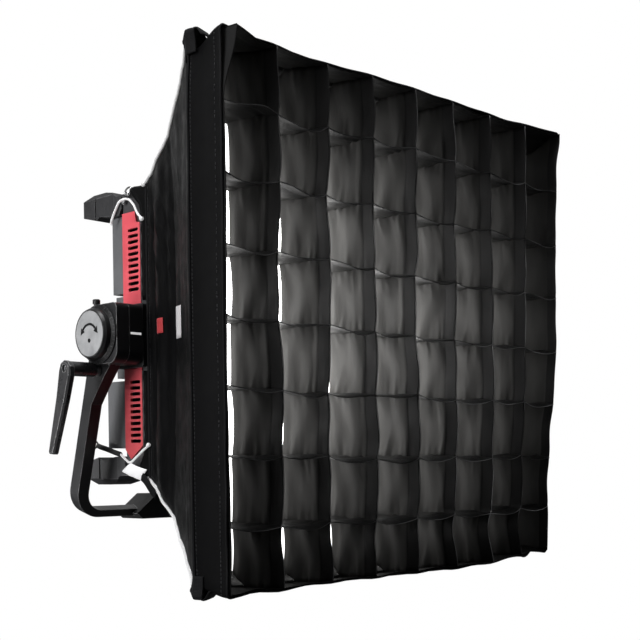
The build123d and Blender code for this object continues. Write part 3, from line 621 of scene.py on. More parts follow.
# bulge, folds and creases of each strip between crossings
VB = {(i, j): (rng.uniform(-0.6, 2.6), rng.uniform(-1.3, 1.3), rng.uniform(0, 6.28)) for i in range(-4, 5) for j in range(-4, 4)}
HB = {(i, j): (rng.uniform(1.0, 4.6), rng.uniform(-1.8, 1.8), rng.uniform(0, 6.28)) for i in range(-4, 4) for j in range(-4, 5)}
HB[-4, 4] = (6.0, 0.0, 0.0)
HB[-4, 3] = (-4.0, -3.0, 0.0)
HB[-3, 3] = (7.0, 2.0, 0.0)
HB[-2, 4] = (3.0, 0.0, 0.0)
HB[-4, 2] = (6.0, -1.0, 1.0)
HB[-3, 2] = (3.0, 2.5, 1.0)
for i in range(1, 4):                            # the lowest row hangs loose
    VB[i, -4] = (-9.0 - 1.5 * i, 2.0, VB[i, -4][2])
for i in range(-3, 1):
    VB[i, -4] = (-3.0, 1.5, VB[i, -4][2])
CREASE = {}
for key in [("v", i, j) for i in range(-4, 5) for j in range(-4, 4)] + [("h", i, j) for i in range(-4, 4) for j in range(-4, 5)]:
    CREASE[key] = [(rng.uniform(0.3, 0.97), rng.uniform(0.022, 0.05), rng.uniform(-1.7, 1.0), rng.random() < 0.62,
                    rng.uniform(0.2, 0.8)) for _ in range(5)]
HEM, CURL = 0.25, 4.2


def wrinkle(key, d, t, phase, amp=1.0):
    """Soft folds across the strip's width, gathers at the crossings and a few sharp creases."""
    near = math.exp(-min(t, 1 - t) / 0.10)
    fold = (math.sin(d * 10.0 + phase + 1.2 * math.sin(t * 4 + phase)) * 1.25
            + math.sin(d * 18.0 + 2.3 * phase + 0.8 * math.sin(t * 5)) * 0.75 * (0.35 + 0.65 * math.sin(t * 3.1 + phase) ** 2))
    pucker = math.sin(d * 46.0 + phase * 3) * near * 0.6 + math.sin(d * 27.0 + phase * 5) * near * 0.6
    sharp = 0.0
    for d0, wd, depth, low, reach in CREASE[key]:
        tt = t if low else 1 - t
        wander = d0 + 0.05 * math.sin(tt * 4 + phase)
        sharp += depth * math.exp(-((d - wander) / wd) ** 2) * smooth((reach - tt) / reach)
    return amp * (fold + pucker + sharp)


def hem_at(d):
    return 1.0 if d < HEM else 0.0


def hem_step(d):
    """The doubled hem stands 0.6 mm proud of the single layer."""
    return 0.6 * (1.0 - smooth((d - HEM + 0.01) / 0.02))


def vertical(i, s, d):
    border = abs(i) == 4
    j = min(int(math.floor(s)), 3)
    t = s - j
    dx, dy, dz = node_mix((i, j), (i, j + 1), t)
    amp, skew, ph = VB[i, j]
    if border:
        amp, skew = 0.0, skew * 0.3
    fade = (1 - d) ** 0.85
    arch = 4 * t * (1 - t)
    live = smooth((d - 0.16) / 0.14)
    loose = 1.7 if j == -4 else 1.0
    x = CELL_W * i + fade * (dx + amp * arch + skew * math.sin(2 * math.pi * t))
    x += wrinkle(("v", i, j), d, t, ph, 0.85 if not border else 0.25) * min(1.0, 7 * (1 - d)) * (0.3 + 0.7 * live) * loose
    x += hem_step(d) * (1 if i < 4 else -1)
    y = depth_y(d, border) + fade * (dy + (-2.0 if not border else -1.0) * arch * (0.5 + 0.5 * math.sin(ph)) * loose)
    z = CZ + CELL_H * s + fade * dz
    if border:
        side = 3 if i > 0 else 1
        lim = GRID_W - 0.3 + fade * (dx if i > 0 else -dx) - scallop(side, z - CZ, y)
        x = math.copysign(min(abs(x), lim), x)
    else:                                        # the loose rear edge leans towards -X between its sewn ends
        row_lean = 11.0 * smooth(s - 2.9) if i < 0 else 0.0
        near_lean = {-3: 6.2 + 1.2 * math.sin(ph), -2: 3.9}.get(i, 0.0)
        x -= smooth(d) * (2.6 + row_lean + near_lean - (1.0 + 3.0 * abs(math.sin(ph))) * arch)
    return squeeze(x, y, z)


def horizontal(j, s, d):
    border = abs(j) == 4
    i = min(int(math.floor(s)), 3)
    t = s - i
    dx, dy, dz = node_mix((i, j), (i + 1, j), t)
    amp, skew, ph = HB[i, j]
    if border and j < 0:
        amp, skew = amp * 0.5, skew * 1.2
    fade = (1 - d) ** 0.85
    arch = 4 * t * (1 - t)
    live = smooth((d - 0.16) / 0.14)
    x = CELL_W * s + fade * dx
    y = depth_y(d, border) + fade * (dy - 2.0 * arch)
    z = CZ + CELL_H * j + fade * (dz - amp * arch + skew * math.sin(2 * math.pi * t))
    z += wrinkle(("h", i, j), d, t, ph, 0.65 if not border else 0.3) * min(1.0, 7 * (1 - d)) * (0.3 + 0.7 * live)
    z -= hem_step(d) * (1 if j > -4 else -1)
    if border:
        side = 0 if j > 0 else 2
        lim = GRID_H - 0.3 + (fade * dz if j > 0 else -fade * dz) - scallop(side, x, y)
        z = CZ + math.copysign(min(abs(z - CZ), lim), z - CZ)
    elif d < HEM:                                # the heavier hem hangs down
        z -= CURL * (1 - d / HEM) ** 1.6 * (0.45 + 0.55 * arch)
    return squeeze(x, y, z)


NV, ND = 13, 38
verticals, horizontals, hem_thread = Bag(), Bag(), Bag()
for i in range(-4, 5):
    verticals.grid(8 * NV, ND, lambda u, w: vertical(i, -4 + 8 * u, w), hem=lambda u, w: hem_at(w))
    # the level strips' hem mask reaches past the hem and fades out by half depth, painting shade over their front part
    horizontals.grid(8 * NV, ND, lambda u, w: horizontal(i, -4 + 8 * u, w), hem=lambda u, w: 1 - smooth((w - 0.30) / 0.22))
piece("grid_vertical_strips", verticals.v, verticals.f, grid_fabric, thick=0.9, hem=verticals.h,
      replaces=("grid",))
piece("grid_horizontal_strips", horizontals.v, horizontals.f, level_strip_shaded_fabric, thick=0.9,
      hem=horizontals.h)

# the folded front edge of each hem
for i in range(-3, 4):
    for strip in (vertical, horizontal):
        pts = [strip(i, -3.99 + 7.98 * k / 96, 0.0) for k in range(97)]
        hem_thread.tube([(p[0], p[1] - 0.3, p[2]) for p in pts], 0.55, 6)
hem_edge_highlight_mat = Mat("hem_edge")
sepx = hem_edge_highlight_mat.n("ShaderNodeSeparateXYZ")
hem_edge_highlight_mat.link(hem_edge_highlight_mat.co, sepx.inputs[0])
# painted highlight: the folded hem edges are coloured light grey, more so towards +X, broken up by noise
painted_glow = hem_edge_highlight_mat.math("MULTIPLY", hem_edge_highlight_mat.remap(sepx.outputs[0], -0.1, 0.3, 0.25, 1.0),
                     hem_edge_highlight_mat.remap(hem_edge_highlight_mat.noise(14.0, 2.0), 0.42, 0.62, 0.0, 1.0), clamp=True)
hem_edge_highlight_mat.put("Base Color", hem_edge_highlight_mat.mix(painted_glow, (0.008, 0.008, 0.0085), (0.20, 0.20, 0.205)))
hem_edge_highlight_mat.put("Roughness", 0.5)
hem_edge_highlight_mat.put("Specular IOR Level", 0.2)
hem_edge_highlight_mat.bumps((weave(hem_edge_highlight_mat, 0.6), 0.3, 0.2))
piece("grid_hem_edges", hem_thread.v, hem_thread.f, hem_edge_highlight_mat)

# ---------------------------------------------------------------- skin: band and tapered sides
N_SIDE, N_ARC = 44, 5


def ring(hw, hh, rc):
    """Points round a rounded rectangle, anticlockwise seen from the front (-Y), with side index and fraction."""
    out = []
    corners = ((hw, hh, 0), (-hw, hh, 90), (-hw, -hh, 180), (hw, -hh, 270))
    for c, (cx, cz, a0) in enumerate(corners):
        ox, oz = math.copysign(hw - rc, cx), math.copysign(hh - rc, cz)
        for k in range(N_ARC):
            a = math.radians(a0 + 90 * k / (N_ARC - 1))
            out.append((ox + rc * math.cos(a), oz + rc * math.sin(a), 1.0, c))
        nx, nzc, _ = corners[(c + 1) % 4]
        ex, ez = math.copysign(hw - rc, nx), math.copysign(hh - rc, nzc)
        a = math.radians(a0 + 90)
        p0 = (ox + rc * math.cos(a), oz + rc * math.sin(a))
        p1 = (ex + rc * math.cos(a), ez + rc * math.sin(a))
        for k in range(1, N_SIDE):
            t = k / N_SIDE
            out.append((p0[0] + (p1[0] - p0[0]) * t, p0[1] + (p1[1] - p0[1]) * t, abs(2 * t - 1), c))
    return out


RING_N = len(ring(10, 10, 1))
CORNER_SAG, PANEL_SAG = 9.0, 12.5


def skin_section(y):
    """Half sizes, centre height, corner radius and taper fraction at depth y."""
    if y <= BAND_B:
        return BOX_W, BOX_H, CZ, 5.0, 1.0
    t = (y - TAPER_B) / (BAND_B - TAPER_B)
    return (REAR_W + (BOX_W - REAR_W) * t, REAR_H + (BOX_H - REAR_H) * t, REAR_Z + (CZ - REAR_Z) * t,
            6.0 - 1.5 * t, t)


def skin_point(k, y, off=0.0, rod=False):
    """Point k of the ring at depth y, off mm outside the cloth."""
    hw, hh, cz, rc, t = skin_section(y)
    arch = 4 * t * (1 - t) if y > BAND_B else 0.0
    sag = CORNER_SAG * arch
    x, z, edge, side = ring(hw - sag, hh - sag, rc)[k]
    flat = 1 - edge ** 3
    # outward direction, square to the panel
    nx, nzv = [(0, 1), (-1, 0), (0, -1), (1, 0)][side] if edge < 1.0 else (math.copysign(0.707, x), math.copysign(0.707, z))
    s = (x if side in (0, 2) else z)
    amount = off
    near = bump(math.hypot(hw - abs(x), hh - abs(z)), 0.0, 44.0)     # the cloth dips between rod tip and front edge
    slack = near * (1.0 if z > 0 else 0.4) * (smooth((y - FRONT_Y) / 44.0) if y <= BAND_B
                                              else 1 - smooth((y - BAND_B) / 26.0))
    if not rod:
        z -= math.copysign(16.0, z) * slack * smooth((abs(z) - hh + 60) / 60)
        x -= math.copysign(3.0, x) * slack
    if y > BAND_B:
        amount -= (PANEL_SAG - CORNER_SAG) * arch * flat
        live = smooth(t / 0.12) * smooth((1 - t) / 0.04)
        across = (y - BAND_B)
        fold = 3.4 * bump(across, 16 + 5 * nz(s / 110, side * 7.1), 4.2) * (0.55 + 0.9 * nz(s / 170, side * 3.7 + 5))
        fold -= 2.6 * bump(across, 26 + 6 * nz(s / 100, side * 5.3), 6.0) * (0.7 + 0.7 * nz(s / 140, side * 2.9 + 9))
        fold += 2.6 * bump(across, 44 + 9 * nz(s / 120, side * 4.9), 5.0) * max(0.0, 0.35 + 1.3 * nz(s / 150, side + 2))
        fold += 2.2 * bump(across, 74 + 14 * nz(s / 130, side * 6.1), 7.0) * max(0.0, 0.3 + 1.4 * nz(s / 130, side + 12))
        fold += 3.4 * nz(s / 190, y / 27.0, side * 11.0) * (0.35 + 0.65 * t) + 0.6 * nz(s / 90, y / 13.0, side * 7.0 + 3)
        ridge = 1 - abs(2 * nz((s + 0.9 * abs(y)) / 300, (s - 1.6 * y) / 52.0, side * 13.0 + 4))
        fold += 2.6 * max(0.0, ridge - 0.72) / 0.28 * smooth(abs(s) / 90) * (1.1 - t)
        fold += 0.8 * nz(s / 40, y / 120.0, side * 3.0) * (1 - smooth(t / 0.4))
        fold += 8.5 * bump(y, -181 + 9 * nz(s / 160, side * 2.2), 18.0) * max(0.0, 0.8 + 0.7 * nz(s / 150, side * 3.3))
        fold -= 5.0 * bump(y, -223 + 7 * nz(s / 130, side * 6.6), 9.0)
        fold -= 3.5 * bump(y, -149 + 4 * nz(s / 150, side * 8.6), 6.0)
        fold += 3.0 * bump(y, -262 + 9 * nz(s / 140, side * 5.5), 12.0) * max(0.0, 0.6 + 0.9 * nz(s / 90, side * 1.3))
        amount += 1.12 * fold * live * (0.35 + 0.65 * flat)
    else:
        amount += 0.9 * bump(y, -374, 20) + 0.5 * nz(s / 70, y / 60, side * 4.0)

        f = smooth((BAND_B - y) / (BAND_B - FRONT_Y))
        dx, dy, dz = drape(x / CELL_W, z / CELL_H)
        amount -= scallop(side, s, y)
        ax, ay, az = lean_in(x / CELL_W, z / CELL_H, y)
        return (x + dx * f + nx * amount + ax, y + dy * f + ay, cz + z + dz * f + nzv * amount + az)
    ax, ay, az = lean_in(4 * x / hw, 4 * z / hh, y)
    return (x + nx * amount + ax, y + ay, cz + z + nzv * amount + az)


STATIONS = ([TAPER_B + (BAND_B - TAPER_B) * i / 56 for i in range(57)]
            + [BAND_B - 0.8, BAND_B - 2.5] + [BAND_B - 5 - 44 * i / 9 for i in range(10)] + [FRONT_Y + 2.5, FRONT_Y])
skin = Bag()
skin.grid(RING_N, len(STATIONS) - 1,
          lambda u, w: skin_point(int(round(u * RING_N)) % RING_N, STATIONS[int(round(w * (len(STATIONS) - 1)))]), wrap_u=True)
piece("softbox_cover", skin.v, skin.f, black_fabric, thick=1.4, offset=-1.0,
      replaces=("softbox_skin",))

# piping at the band seam, binding on the front edge, hem cord at the head end, corner seams
trim = Bag()
trim.tube([skin_point(k, BAND_B - 0.4, 0.5) for k in range(RING_N)], 1.5, 8, closed=True, ridge=0.08, twist=0.8)
trim.tube([skin_point(k, FRONT_Y, -0.7) for k in range(RING_N)], 1.25, 8, closed=True, ridge=0.06, twist=0.8)
trim.tube([skin_point(k, TAPER_B, -0.4) for k in range(RING_N)], 1.7, 8, closed=True, ridge=0.1, twist=0.9)
for c in range(4):
    k = c * (N_ARC + N_SIDE - 1) + N_ARC // 2
    trim.tube([skin_point(k, y, 0.3) for y in STATIONS[1:57]], 0.9, 6)
piece("cover_piping", trim.v, trim.f, binding_tape)

# lockstitch rows: real thread dashes
stitches = Bag()


def stitch_row(y, off, gap=4.6, length=3.0, r=0.32):
    pts = [Vector(skin_point(k, y, off)) for k in range(RING_N)]
    pts.append(pts[0])
    run, need = 0.0, 0.0
    for a, b in zip(pts, pts[1:]):
        seg = (b - a).length
        if seg < 1e-6:
            continue
        while need < run + seg:
            t0 = (need - run) / seg
            t1 = min(t0 + length / seg, 1.0)
            p, q = a.lerp(b, t0), a.lerp(b, t1)
            if (q - p).length > 1.0:
                stitches.tube([p, p.lerp(q, 0.5), q], [r * 0.7, r, r * 0.7], 5)
            need += gap
        run += seg


stitch_row(BAND_B - 4.0, 0.15)
stitch_row(BAND_B + 4.0, 0.15)
stitch_row(FRONT_Y + 9.0, 0.15)
stitch_row(TAPER_B - 7.0, 0.15)
piece("cover_stitching", stitches.v, stitches.f, thread_mat)

# ---------------------------------------------------------------- collar that grips the head
collar = Bag()
CUT0, CUT1 = 244.5 - 44 - REAR_Z, 244.5 + 44 - REAR_Z


def collar_run(k0, k1):
    ks = list(range(k0, k1 + 1))

    def at(u, w):
        k = ks[int(round(u * (len(ks) - 1)))] % RING_N
        x, z, edge, side = ring(REAR_W - 1.0, REAR_H - 1.0, 8.0)[k]
        s = x if side in (0, 2) else z
        ear = bump(math.hypot(REAR_W - abs(x), REAR_H - abs(z)), 0.0, 20.0)
        y = -126.4 + (11.4 + 26.5 * ear) * w
        nx, nzv = [(0, 1), (-1, 0), (0, -1), (1, 0)][side] if edge < 1 else (math.copysign(0.707, x), math.copysign(0.707, z))
        gather = (0.9 * math.sin(s / 3.4 + 2 * nz(s / 30, side)) * smooth((w - 0.35) / 0.5)
                  + 1.2 * bump(w, 0.86, 0.1)) * (1 - 0.6 * ear) + 1.6 * ear * smooth(w)
        return (x + nx * gather, y, REAR_Z + z + nzv * gather)

    collar.grid(len(ks) - 1, 14, at)


half = ring(REAR_W - 1.0, REAR_H - 1.0, 8.0)
left_keep = [k for k in range(RING_N) if not (half[k][3] in (1, 3) and half[k][2] < 1 and CUT0 < half[k][1] < CUT1)]
runs, start = [], left_keep[0]
for a, b in zip(left_keep, left_keep[1:] + [None]):
    if b is None or b != a + 1:
        runs.append((start, a))
        start = b
if runs[0][0] == 0 and runs[-1][1] == RING_N - 1:
    first = runs.pop(0)
    last = runs.pop()
    runs.append((last[0], RING_N + first[1]))
for a, b in runs:
    collar_run(a, b)
piece("cover_collar", collar.v, collar.f, black_fabric, thick=1.3, replaces=("softbox_collar",))

# ---------------------------------------------------------------- diffusion sheets
front = Bag()


def front_at(u, w):
    lw, lh, cz = inside(-326.5)
    x, z = (2 * u - 1) * (lw - 0.5), (2 * w - 1) * (lh - 0.5)
    dome = (1 - (x / lw) ** 2) * (1 - (z / lh) ** 2)
    y = -327.2 + 2.6 * dome + 0.35 * nz(x / 40, z / 90)
    ax, ay, az = lean_in(4 * x / lw, 4 * z / lh, -327.0)
    return (x + ax, y + ay * 0.2, cz + z + az)


front.grid(64, 64, front_at)
piece("front_diffusion_sheet", front.v, front.f, lit_diffuser, thick=0.6,
      replaces=("front_diffuser",))

baffle = Bag()
blo, bhi = [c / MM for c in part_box("inner_baffle")[0]], [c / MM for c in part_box("inner_baffle")[1]]


def baffle_at(u, w):
    lw, lh, bz = inside((blo[1] + bhi[1]) / 2 + 8.0)
    x, z = (2 * u - 1) * (lw - 4.0), bz + (2 * w - 1) * (lh - 5.0)
    dome = (1 - (2 * u - 1) ** 2) * (1 - (2 * w - 1) ** 2)
    scal = 3.0 * (math.sin(math.pi * 4 * u) ** 2 * bump(abs(2 * w - 1), 1, 0.15) * math.copysign(1, 0.5 - w))
    return (x, (blo[1] + bhi[1]) / 2 - 9.0 * dome + 0.8 * nz(x / 50, z / 80), z + scal)


baffle.grid(56, 56, baffle_at)
piece("inner_baffle_sheet", baffle.v, baffle.f, white_fabric, thick=0.6,
      replaces=("inner_baffle",))

# ---------------------------------------------------------------- corner rods, pockets
rods, pockets, pocket_trim = Bag(), Bag(), Bag()
for sx in (-1, 1):
    for sz in (-1, 1):
        kc = {(1, 1): 0, (-1, 1): 1, (-1, -1): 2, (1, -1): 3}[sx, sz] * (N_ARC + N_SIDE - 1) + N_ARC // 2
        ys = [TAPER_B + 2 - 227 * k / 28 for k in range(29)]
        pts = [skin_point(kc, y, 1.9, rod=True) for y in ys]
        rods.tube(pts, 2.2, 12)
        rods.tube([pts[0], tuple(Vector(pts[0]) + Vector((-sx * 1.0, 6.0, -sz * 1.0)))], 3.0, 12)

        # pocket: cloth folded over the corner, with a rod tunnel along the edge
        prof = []
        for k in range(9):                       # along the top or bottom panel
            t = k / 8
            prof.append((BOX_W - 20 + 14 * t, BOX_H - 7.0 + 7.9 * smooth(t)))
        for k in range(11):                      # round the rod
            ang = math.radians(120 - 150 * k / 10)
            prof.append((BOX_W - 1.2 + 3.8 * math.cos(ang), BOX_H - 0.6 + 3.8 * math.sin(ang)))
        for k in range(1, 9):                    # down the side panel
            t = k / 8
            prof.append((BOX_W + 1.2 - 0.6 * t, BOX_H - 5 - 17 * t))
        y0, y1 = -362.0, -336.0

        def at(u, w, sx=sx, sz=sz, prof=prof):
            px, pz = prof[int(round(u * (len(prof) - 1)))]
            y = y0 + (y1 - y0) * w
            near = bump(u, 0.5, 0.22)
            lift = (2.2 if sz > 0 else 1.0) * (0.4 + 0.6 * math.sin(w * math.pi)) * near
            drop = -5.0 * smooth((y - BAND_B) / 14.0) * (1 - near)
            t = max(0.0, (y - BAND_B) / (TAPER_B - BAND_B))
            px -= (BOX_W - REAR_W) * t
            pz -= (BOX_H - REAR_H) * t
            ax, ay, az = lean_in(4 * sx, 4 * sz, y)
            return (sx * (px + lift * 0.35) + ax, y + drop * 0.8 + ay, CZ + sz * (pz + lift) + az)

        pockets.grid(len(prof) - 1, 14, at)
        # webbing tongue at the mouth
        def tongue_at(u, w, sx=sx, sz=sz):
            ax, ay, az = lean_in(4 * sx, 4 * sz, -360)
            return (sx * (BOX_W - 13.0 + 15.0 * u) + ax, -359.0 - 15.0 * w + ay,
                    CZ + sz * (BOX_H + 4.0 - 9.0 * w * w - 3.5 * abs(u - 0.8) + 1.2 * math.sin(w * 5)) + az)

        pockets.grid(6, 6, tongue_at)
        for w in (0.0, 1.0):
            pocket_trim.tube([at(k / (len(prof) - 1), w) for k in range(len(prof))], 1.0, 6)
for b_, nme, mt, sl, rep in ((rods, "corner_rod_set", rod_white, "white_rod", ("corner_rods",)),):
    piece(nme, b_.v, b_.f, mt, replaces=rep)
piece("corner_pocket_set", pockets.v, pockets.f, binding_tape, thick=1.2, replaces=("corner_pockets",))
piece("corner_pocket_binding", pocket_trim.v, pocket_trim.f, binding_tape)

# ---------------------------------------------------------------- elastic cords and hooks
cords, keeper = Bag(), Bag()
for sx in (-1, 1):
    for sz in (-1, 1):
        def q(x, y, dz):
            return (sx * x, y, REAR_Z + sz * dz)
        if sz > 0:
            path = spline([q(210.6, -121, 146), q(209.4, -109, 155), q(206.8, -98, 168), q(205.6, -85, 177.5),
                           q(205.8, -71, 179), q(206.2, -61, 173), q(206.4, -49, 156), q(204.6, -45, 150)], 10)
        else:
            path = spline([q(214.8, -134, 147), q(211.8, -120, 152), q(209.2, -101, 161), q(207.6, -84, 169),
                           q(206.8, -72, 165), q(206.2, -60, 158), q(205.0, -52, 156)], 10)
            keeper.tube(spline([q(206.0, -61, 158.5), q(206.2, -50, 156), q(205.6, -30, 151), q(205.2, -14, 147.5),
                                q(204.6, -5, 145)], 6), [2.6] + [3.5] * 22 + [2.4, 1.8], 12)
            keeper.tube(spline([q(205.0, -6, 146), q(204.6, 1, 149), q(204.4, 4, 143), q(204.8, -3, 140),
                                q(205.0, -8, 144)], 6), 1.2, 8)
        cords.tube(path, 1.55, 10, ridge=0.10, twist=0.55)
        knot = Vector(path[0])
        cords.tube([knot + Vector((sx * 0.8, -1.5, 0)), knot + Vector((sx * 0.8, 1.0, 0)),
                    knot + Vector((sx * 0.6, 3.5, sz * 1.0))], [2.0, 2.9, 2.2], 10)
piece("cord_keepers", keeper.v, keeper.f, CAD_MATS["knob_rubber"])
piece("elastic_cords", cords.v, cords.f, elastic, replaces=("bungee_cords",))

hooks = Bag()
for sx in (-1, 1):
    for sz in (-1, 1):
        def h(y, dz, x=205.4):
            return (sx * x, y, REAR_Z + sz * dz)
        rz, ra = (188.5, 4.2) if sz > 0 else (181.0, 2.6)
        loop = [h(-84 + 1.7 * ra * math.cos(a), rz + ra * math.sin(a) - 0.45 * ra * math.cos(a))
                for a in [2 * math.pi * k / 24 for k in range(24)]]
        hooks.tube(loop, 1.15, 8, closed=True)
        hooks.tube([h(-84, rz - 4, 203.2), h(-84, rz - 4, 205.4), h(-84, rz - 4, 207.2)], [2.4, 2.4, 3.3], 14)
piece("cord_eyelets", hooks.v, hooks.f, CAD_MATS["screw_chrome"], replaces=("cord_hooks",))

# ---------------------------------------------------------------- tags and tabs on the cloth
tags = Bag()


TAG = ((-86, 78), (-122, 69), (-107, 55), (-68, 67))


def tag_at(u, w, q=TAG, lift=0.0):
    a = [q[0][n] + (q[1][n] - q[0][n]) * u for n in (0, 1)]
    b = [q[3][n] + (q[2][n] - q[3][n]) * u for n in (0, 1)]
    y, z = [a[n] + (b[n] - a[n]) * w for n in (0, 1)]
    x = -208.6 - lift - 2.4 * math.sin(u * math.pi) - 1.8 * math.sin(w * 2.6 + u) - 0.5 * math.sin(u * 17) * w
    return (x, y, z)


tags.grid(18, 12, tag_at)
strap = Bag()
strap.grid(12, 5, lambda u, w: (-210.0 - 3.5 * math.sin(u * 2.2), -112 - 33 * u + 3 * w, 66 - 22 * u - 11 * w + 2 * math.sin(u * 5)))
piece("rod_strap", strap.v, strap.f, binding_tape, thick=1.0)
piece("loop_tag", tags.v, tags.f, white_tag, thick=0.8, replaces=("fabric_tags",))


def side_point(y, z, off):
    """A point on the near (-X) side panel of the cover."""
    best = min(range(RING_N), key=lambda k: abs(skin_point(k, y)[2] - z) + (0 if skin_point(k, y)[0] < -150 else 1e6))
    p = skin_point(best, y, off)
    return p


def patch(name, y0, y1, z0, z1, mat, sl, off=0.9, ny=8, nz_=8):
    b = Bag()
    b.grid(ny, nz_, lambda u, w: side_point(y0 + (y1 - y0) * u, z0 + (z1 - z0) * w, off)[:1]
           + (y0 + (y1 - y0) * u, z0 + (z1 - z0) * w))
    return piece(name, b.v, b.f, mat, thick=0.7)


patch("plain_red_tab", -193, -177, 239, 258, red_tab, "red_metal")
patch("plain_grey_label", -274, -257, 224, 262, grey_tab, "black_fabric")

# ---------------------------------------------------------------- small markings and details on the hard parts
marks = Bag()
for sx in (-1, 1):
    marks.block((sx * 217.2, -123.75, 243.2), (sx * 17.0, 0, 0), (0, 0.5, 0), (0, 0, 2.8))
mark_paint = moulded("mark_paint", (0.88, 0.88, 0.88), (0.95, 0.95, 0.95), rough=0.5, grain=400.0, grain_mm=0.05)
# painted glow: emission makes the white index paint brighter than its colour alone
mark_paint.put("Emission Color", (1.0, 1.0, 1.0, 1.0))
mark_paint.put("Emission Strength", 0.45)
piece("index_lines", marks.v, marks.f, mark_paint, body="yoke", smooth_shade=False)

ticks = Bag()
HY, HZ = -85.0, 244.5
for sx in (-1, 1):
    for k in range(48):
        a = math.radians(7.5 * k)
        long = k % 4 == 0
        if math.hypot(HY + 36 * math.cos(a) + 67.0, HZ + 36 * math.sin(a) - 200.0) < 14.0:
            continue                             # the lever's notch
        r0, r1 = (34.8 if long else 36.2), 37.8
        c, s = math.cos(a), math.sin(a)
        xa = 261.0 - (r0 - 34.0) / 4.2 * 3.0
        xb = 261.0 - (r1 - 34.0) / 4.2 * 3.0
        o = Vector((sx * (xa + 0.03), HY + r0 * c, HZ + r0 * s))
        e = Vector((sx * (xb + 0.03), HY + r1 * c, HZ + r1 * s))
        side = Vector((0, -s, c)) * (0.5 if long else 0.32)
        out = Vector((sx * 0.2, 0.2 * c, 0.2 * s))
        ticks.block(o - side * 0.5 - out * 0.6, e - o, side, out * 1.4)
tick_paint = moulded("tick_paint", (0.10, 0.10, 0.105), (0.17, 0.17, 0.175), rough=0.5, grain=400.0, grain_mm=0.05)
piece("bezel_ticks", ticks.v, ticks.f, tick_paint, body="yoke", smooth_shade=False)

arrow = Bag()
for sx in (-1, 1):                               # a plain two-way tilt arrow on each hub cap
    x = sx * 271.0
    path = []
    for k in range(25):
        a = math.radians(38 + 104 * k / 24)
        path.append((HY + 0 + 17.0 * math.cos(a), HZ - 5.0 + 17.0 * math.sin(a)))
    base = len(arrow.v)
    for (y, z) in path:
        d = Vector((y - HY, z - HZ + 5.0)).normalized()
        for rr in (-1.5, 1.5):
            for xx in (0.0, 0.45):
                arrow.v.append((x + sx * xx, y + d.x * rr, z + d.y * rr))
                arrow.h.append(0)
    for k in range(24):
        b0 = base + 4 * k
        for p, q_ in ((0, 1), (1, 3), (3, 2), (2, 0)):
            arrow.f.append((b0 + p, b0 + q_, b0 + 4 + q_, b0 + 4 + p))
    for end in (0, 24):
        y, z = path[end]
        rad = Vector((y - HY, z - HZ + 5.0)).normalized()
        tan = Vector((rad.y, -rad.x)) * (1 if end == 0 else -1)
        tri = [Vector((y, z)) + rad * 4.6, Vector((y, z)) - rad * 4.6, Vector((y, z)) + tan * 8.0]
        b0 = len(arrow.v)
        for p in tri:
            for xx in (0.0, 0.45):
                arrow.v.append((x + sx * xx, p.x, p.y))
                arrow.h.append(0)
        arrow.f += [(b0, b0 + 2, b0 + 4), (b0 + 1, b0 + 5, b0 + 3)]
        for p, q_ in ((0, 2), (2, 4), (4, 0)):
            arrow.f.append((b0 + p, b0 + p + 1, b0 + q_ + 1, b0 + q_))
    arrow.tube([(x - sx * 0.2, HY, HZ - 9.0), (x + sx * 0.5, HY, HZ - 9.0)], 2.6, 24)
piece("hub_tilt_arrows", arrow.v, arrow.f, CAD_MATS["black_plastic"], body="yoke", smooth_shade=False)

# ---------------------------------------------------------------- stage, light, camera
floor_m = Mat("pale_floor")
floor_m.put("Base Color", floor_m.mix(floor_m.noise(2.0, 3.0), (0.17, 0.17, 0.17), (0.20, 0.20, 0.20)))
floor_m.put("Roughness", 0.8)
lp = floor_m.n("ShaderNodeLightPath")
em = floor_m.n("ShaderNodeEmission")
em.inputs["Strength"].default_value = 1.0
mx = floor_m.n("ShaderNodeMixShader")
floor_m.link(lp.outputs["Is Camera Ray"], mx.inputs[0])
floor_m.link(floor_m.b.outputs[0], mx.inputs[1])
floor_m.link(em.outputs[0], mx.inputs[2])
floor_m.link(mx.outputs[0], floor_m.out.inputs[0])
me = bpy.data.meshes.new("pale_floor")
me.from_pydata([(-30, -30, -1.15), (30, -30, -1.15), (30, 30, -1.15), (-30, 30, -1.15)], [], [(0, 1, 2, 3)])
me.materials.append(floor_m.m)
floor = bpy.data.objects.new("pale_floor", me)
bpy.context.scene.collection.objects.link(floor)

world = bpy.data.worlds.new("studio")
bpy.context.scene.world = world
world.use_nodes = True
wt = world.node_tree
wt.nodes.clear()


def wn(kind, **kw):
    nd = wt.nodes.new(kind)
    for k, v in kw.items():
        setattr(nd, k, v)
    return nd


FWD = Vector((0.71679, 0.69671, -0.02832))
coord = wn("ShaderNodeTexCoord")
dot = wn("ShaderNodeVectorMath", operation="DOT_PRODUCT")
dot.inputs[1].default_value = tuple(FWD)
wt.links.new(coord.outputs["Generated"], dot.inputs[0])
half_dot = wn("ShaderNodeMath", operation="MULTIPLY_ADD")
half_dot.inputs[1].default_value, half_dot.inputs[2].default_value = 0.5, 0.5
wt.links.new(dot.outputs["Value"], half_dot.inputs[0])
mr = wn("ShaderNodeValToRGB")
wt.links.new(half_dot.outputs[0], mr.inputs[0])
stops = ((0.0, 0.05), (0.42, 0.06), (0.62, 0.10), (0.80, 0.30), (1.0, 0.85))
while len(mr.color_ramp.elements) < len(stops):
    mr.color_ramp.elements.new(0.5)
for e, (pos, val) in zip(mr.color_ramp.elements, stops):
    e.position, e.color = pos, (val, val, val, 1)
bg_cam, bg_light = wn("ShaderNodeBackground"), wn("ShaderNodeBackground")
bg_cam.inputs["Color"].default_value = (1, 1, 1, 1)
bg_cam.inputs["Strength"].default_value = 1.0
bg_light.inputs["Color"].default_value = (1.0, 1.0, 1.0, 1)
